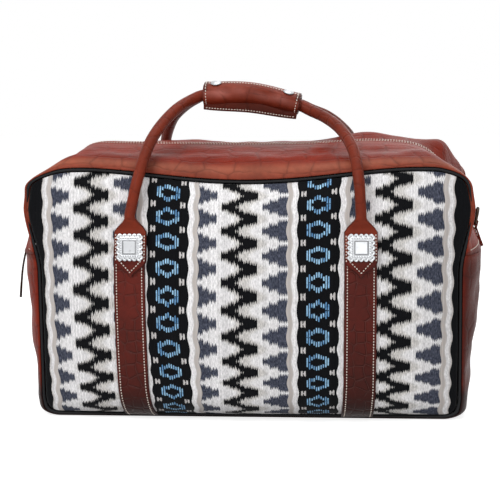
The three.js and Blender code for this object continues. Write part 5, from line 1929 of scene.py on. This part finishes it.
def make_rings():
    loop = ring_wire()
    section = rounded_strip(RING_TAB_WIDTH, RING_TAB_WALL * 0.85, 0.5, 5)
    section[:, 1] -= RING_TAB_WALL * 0.42
    cut_edge = 0.3 * strip_edge(section[None, :, 0], RING_TAB_WIDTH / 2)
    for side, bar in RING_BAR_HEIGHTS.items():
        ring = Shape()
        ring.grid(at_end(loop + [bar, 0, 0], side), wrap_rows=True, wrap=True)
        ring.piece(f"{side}_wire_ring", "Dark metal", "dark_metal", [f"d_ring_{side}"], f"ring_{side}")
        tab = Shape()
        tab.tube(at_end(ring_strap(section, bar), side), edge=cut_edge)
        tab.piece(f"{side}_ring_loop", "Bridle leather", "leather", [f"ring_tab_{side}"])


def make_inside():
    mouth = SEAM_TOP - LINING_MOUTH_DROP
    levels = np.array([
        LINING_FLOOR, LINING_FLOOR + LINING_CURL, SEAM_BOTTOM + FOLD_HEIGHT + LINING_CURL,
        blend(LINING_FLOOR, mouth, 0.54), SEAM_TOP - SEAM_TOP_RADIUS - 2 * LINING_CURL, mouth,
    ])
    lean = np.maximum(0, levels - JOIN_HEIGHT) * math.tan(CREST_LEAN)
    lengths = SEAM_HALF_LENGTH - LINING_END_GAP - lean
    depths = np.array([
        0, (SEAM_HALF_DEPTH_BOTTOM + FOLD_HALF_DEPTH) / 2, FOLD_HALF_DEPTH, BELLY_HALF_DEPTH,
        BROW_HALF_DEPTH, SEAM_HALF_DEPTH_TOP,
    ]) - LINING_SIDE_GAP
    lengths[0], depths[0] = BOARD_LENGTH / 2, BOARD_DEPTH / 2
    z = np.concatenate([[LINING_FLOOR] * 8, np.linspace(LINING_FLOOR, mouth, 60)])
    grow = np.concatenate([np.linspace(0.02, 0.97, 8), np.ones(60)])
    turn = round_turn(160)
    x, y = squared(np.cos(turn), np.sin(turn), LINING_ROUNDING)
    long = (np.interp(z, levels, lengths) * grow)[:, None] * x
    deep = (np.interp(z, levels, depths) * grow)[:, None] * y
    points = np.stack([long, deep, np.broadcast_to(z[:, None], long.shape)], -1)
    folds = 2.2 * np.sin(turn * 26)[None, :] + 2 * lumps(points, 60, 17)
    sway = (ease(z, 20, 90)[:, None] * folds - 2.5) * ease(z, 8, 40)[:, None]
    sideways = unit(points * [1, 1, 0] + [1e-9, 0, 0])
    tub = Shape()
    first = tub.grid(points + sideways * sway[..., None], wrap=True)
    tub.cap(first, len(turn))
    piece = tub.piece("cloth_tub", "Lining cloth", "lining", ["lining"], sharp=180)
    give_wall(piece, LINING_WALL)
    dress_solid("base_board", "Base card")


def make_stitches():
    size = sizes()
    lengths = {"Pitch": size.stitch_pitch, "Length": size.stitch_length, "Width": size.stitch_width}
    paths = [*face_rows(), *crest_rows(), *join_rows(), *wrap_rows()]
    tree = row_tree("Stitch row", lengths, stitch_unit)
    grow_row("stitches", paths, tree, lengths, "Waxed thread")


def face_rows():
    """Rows down the straps and round the tabs, on the front and on the back."""
    strap_rows = np.linspace(STRAP_FOOT + 0.05, TAB_TIP + 0.08, 120)
    tab_rows = np.linspace(TAB_POINT + 0.005, TAB_SHOULDER - 0.03, 60)
    leg = np.linspace(-1, 1, 80)
    strap_top = STRAP_LOW + STRAP_THICKNESS
    tab_top = TAB_LOW + TAB_THICKNESS
    made = []
    for x in (-STRAP_X, STRAP_X):
        lines = []
        for side in (-1, 1):
            beside = side * (STRAP_WIDTH / 2 - STRAP_STITCH_INSET)
            lines.append((strap_centre(x, strap_rows) + beside, strap_rows, strap_top))
            beside = side * (STRAP_WIDTH / 2 + TAB_SPREAD - TAB_STITCH_INSET)
            lines.append((x + beside, tab_rows, tab_top))
        lines.append((x + TAB_STITCH_REACH * leg, TAB_TIP + 0.025 + 0.062 * np.abs(leg), tab_top))
        for across, row, height in lines:
            across = np.broadcast_to(across, row.shape)
            points = on_panel(across, row, height + STITCH_LIFT)
            out = panel_normal(across, row)
            made += [(points, out), (points * MIRROR, out * MIRROR)]
    return made


def crest_rows():
    """A row on each side of the zip."""
    path, out, way_out = crest_stations(CREST_STITCH_START)
    rows = (-CREST_STITCH_Y, CREST_STITCH_Y)
    return [(on_crest(path, out, y, CREST_STITCH_HEIGHT), way_out) for y in rows]


def join_rows():
    """A row on the foot of the top leather, across each end of the bag."""
    rows = np.linspace(-0.94, -0.14, 60)
    points = gusset_points(upper_path, np.concatenate([rows, -rows[::-1]]))
    made = []
    for end in (points[2], points[-3]):
        out = unit(np.array([np.sign(end[0, 0]), 0, 0.3]))
        made += [(half + out * STITCH_LIFT, out) for half in np.split(end, 2)]
    return made


def wrap_rows():
    """Rows round the wrap's ends, along the flap and along the lip."""
    made = []
    turn = np.linspace(FLAP_BACK + 0.1, math.pi * 1.36, 60)[None, :]
    for distance in (WRAP_STITCH_INSET, WRAP_LENGTH - WRAP_STITCH_INSET):
        point, up = wrap_stations(distance, distance + 1, 1)
        ring = wrap_section(point[:1], up[:1], turn, flap_height(turn) + STITCH_LIFT)[0]
        made.append((ring, unit(ring - point[0])))
    point, up = wrap_stations(FLAP_STITCH_INSET, WRAP_LENGTH - FLAP_STITCH_INSET, 60)
    turn = np.full((len(point), 1), FLAP_BACK + 0.99)
    top = wrap_section(point, up, turn, FLAP_THICKNESS + STITCH_LIFT)[:, 0]
    made.append((top, unit(top - point)))
    front = WRAP_LIP_Y - WRAP_LIP_THICKNESS - STITCH_LIFT
    made.append((point + [0, front, 0] + up * (lip_foot(point) + LIP_STITCH_INSET), FORWARD))
    return made


# Add-on

class BAG_OT_stage(bpy.types.Operator):
    """Sets up the camera, the lights and the pale floor"""

    bl_idname = "bag.make_stage"
    bl_label = "Stage"

    def execute(self, context):
        make_stage()
        return {"FINISHED"}


class BAG_OT_lace(bpy.types.Operator):
    """Hangs the leather lace from the zip pull"""

    bl_idname = "bag.make_lace"
    bl_label = "Lace"

    def execute(self, context):
        make_lace()
        return {"FINISHED"}


class BAG_OT_panels(bpy.types.Operator):
    """Stretches the woven cloth over the front and the back"""

    bl_idname = "bag.make_panels"
    bl_label = "Woven panels"

    def execute(self, context):
        make_panels()
        return {"FINISHED"}


class BAG_OT_gussets(bpy.types.Operator):
    """Lays the leather over the top, the ends and the base"""

    bl_idname = "bag.make_gussets"
    bl_label = "Leather body"

    def execute(self, context):
        make_gussets()
        return {"FINISHED"}


class BAG_OT_piping(bpy.types.Operator):
    """Runs the piping round both panels"""

    bl_idname = "bag.make_piping"
    bl_label = "Piping"

    def execute(self, context):
        make_piping()
        return {"FINISHED"}


class BAG_OT_zip(bpy.types.Operator):
    """Sets the zip's tapes, teeth and stops"""

    bl_idname = "bag.make_zip"
    bl_label = "Zip"

    def execute(self, context):
        make_zip()
        return {"FINISHED"}


class BAG_OT_slider(bpy.types.Operator):
    """Makes the zip's slider and pull"""

    bl_idname = "bag.make_slider"
    bl_label = "Slider and pull"

    def execute(self, context):
        make_slider()
        return {"FINISHED"}


class BAG_OT_handles(bpy.types.Operator):
    """Makes the two rolled handles with their tabs"""

    bl_idname = "bag.make_handles"
    bl_label = "Handles"

    def execute(self, context):
        make_handles()
        return {"FINISHED"}


class BAG_OT_straps(bpy.types.Operator):
    """Makes the embossed straps on both panels"""

    bl_idname = "bag.make_straps"
    bl_label = "Straps"

    def execute(self, context):
        make_straps()
        return {"FINISHED"}


class BAG_OT_conchos(bpy.types.Operator):
    """Makes the silver conchos and their screws"""

    bl_idname = "bag.make_conchos"
    bl_label = "Conchos"

    def execute(self, context):
        make_conchos()
        return {"FINISHED"}


class BAG_OT_wrap(bpy.types.Operator):
    """Makes the wrap round the handles, with its snaps"""

    bl_idname = "bag.make_wrap"
    bl_label = "Handle wrap"

    def execute(self, context):
        make_wrap()
        return {"FINISHED"}


class BAG_OT_rings(bpy.types.Operator):
    """Makes the end rings and their leather loops"""

    bl_idname = "bag.make_rings"
    bl_label = "End rings"

    def execute(self, context):
        make_rings()
        return {"FINISHED"}


class BAG_OT_inside(bpy.types.Operator):
    """Makes the lining and the base board"""

    bl_idname = "bag.make_inside"
    bl_label = "Inside"

    def execute(self, context):
        make_inside()
        return {"FINISHED"}


class BAG_OT_stitches(bpy.types.Operator):
    """Sews the rows of stitches along the leather"""

    bl_idname = "bag.make_stitches"
    bl_label = "Stitches"

    def execute(self, context):
        make_stitches()
        return {"FINISHED"}


OPERATORS = (
    BAG_OT_stage, BAG_OT_lace, BAG_OT_panels, BAG_OT_gussets, BAG_OT_piping, BAG_OT_zip,
    BAG_OT_slider, BAG_OT_handles, BAG_OT_straps, BAG_OT_conchos, BAG_OT_wrap, BAG_OT_rings,
    BAG_OT_inside, BAG_OT_stitches,
)


class BAG_PT_sidebar(bpy.types.Panel):
    """Lists the bag's settings and the operators that make its pieces"""

    bl_idname = "BAG_PT_sidebar"
    bl_label = "Overnight bag"
    bl_space_type = "VIEW_3D"
    bl_region_type = "UI"
    bl_category = "Overnight bag"

    def draw(self, context):
        for group in (context.scene.bag_sizes, context.scene.bag_colours, context.scene.bag_view):
            for name in group.__annotations__:
                self.layout.prop(group, name)
        for operator in OPERATORS:
            self.layout.operator(operator.bl_idname)


GROUPS = {"bag_colours": BagColours, "bag_sizes": BagSizes, "bag_view": BagView}
CLASSES = (*GROUPS.values(), *OPERATORS, BAG_PT_sidebar)


def register():
    for cls in CLASSES:
        bpy.utils.register_class(cls)
    for name, group in GROUPS.items():
        setattr(bpy.types.Scene, name, bpy.props.PointerProperty(type=group))


def unregister():
    for name in GROUPS:
        delattr(bpy.types.Scene, name)
    for cls in reversed(CLASSES):
        bpy.utils.unregister_class(cls)


def main():
    register()
    for operator in OPERATORS:
        area, action = operator.bl_idname.split(".")
        getattr(getattr(bpy.ops, area), action)()


if __name__ == "__main__":
    main()
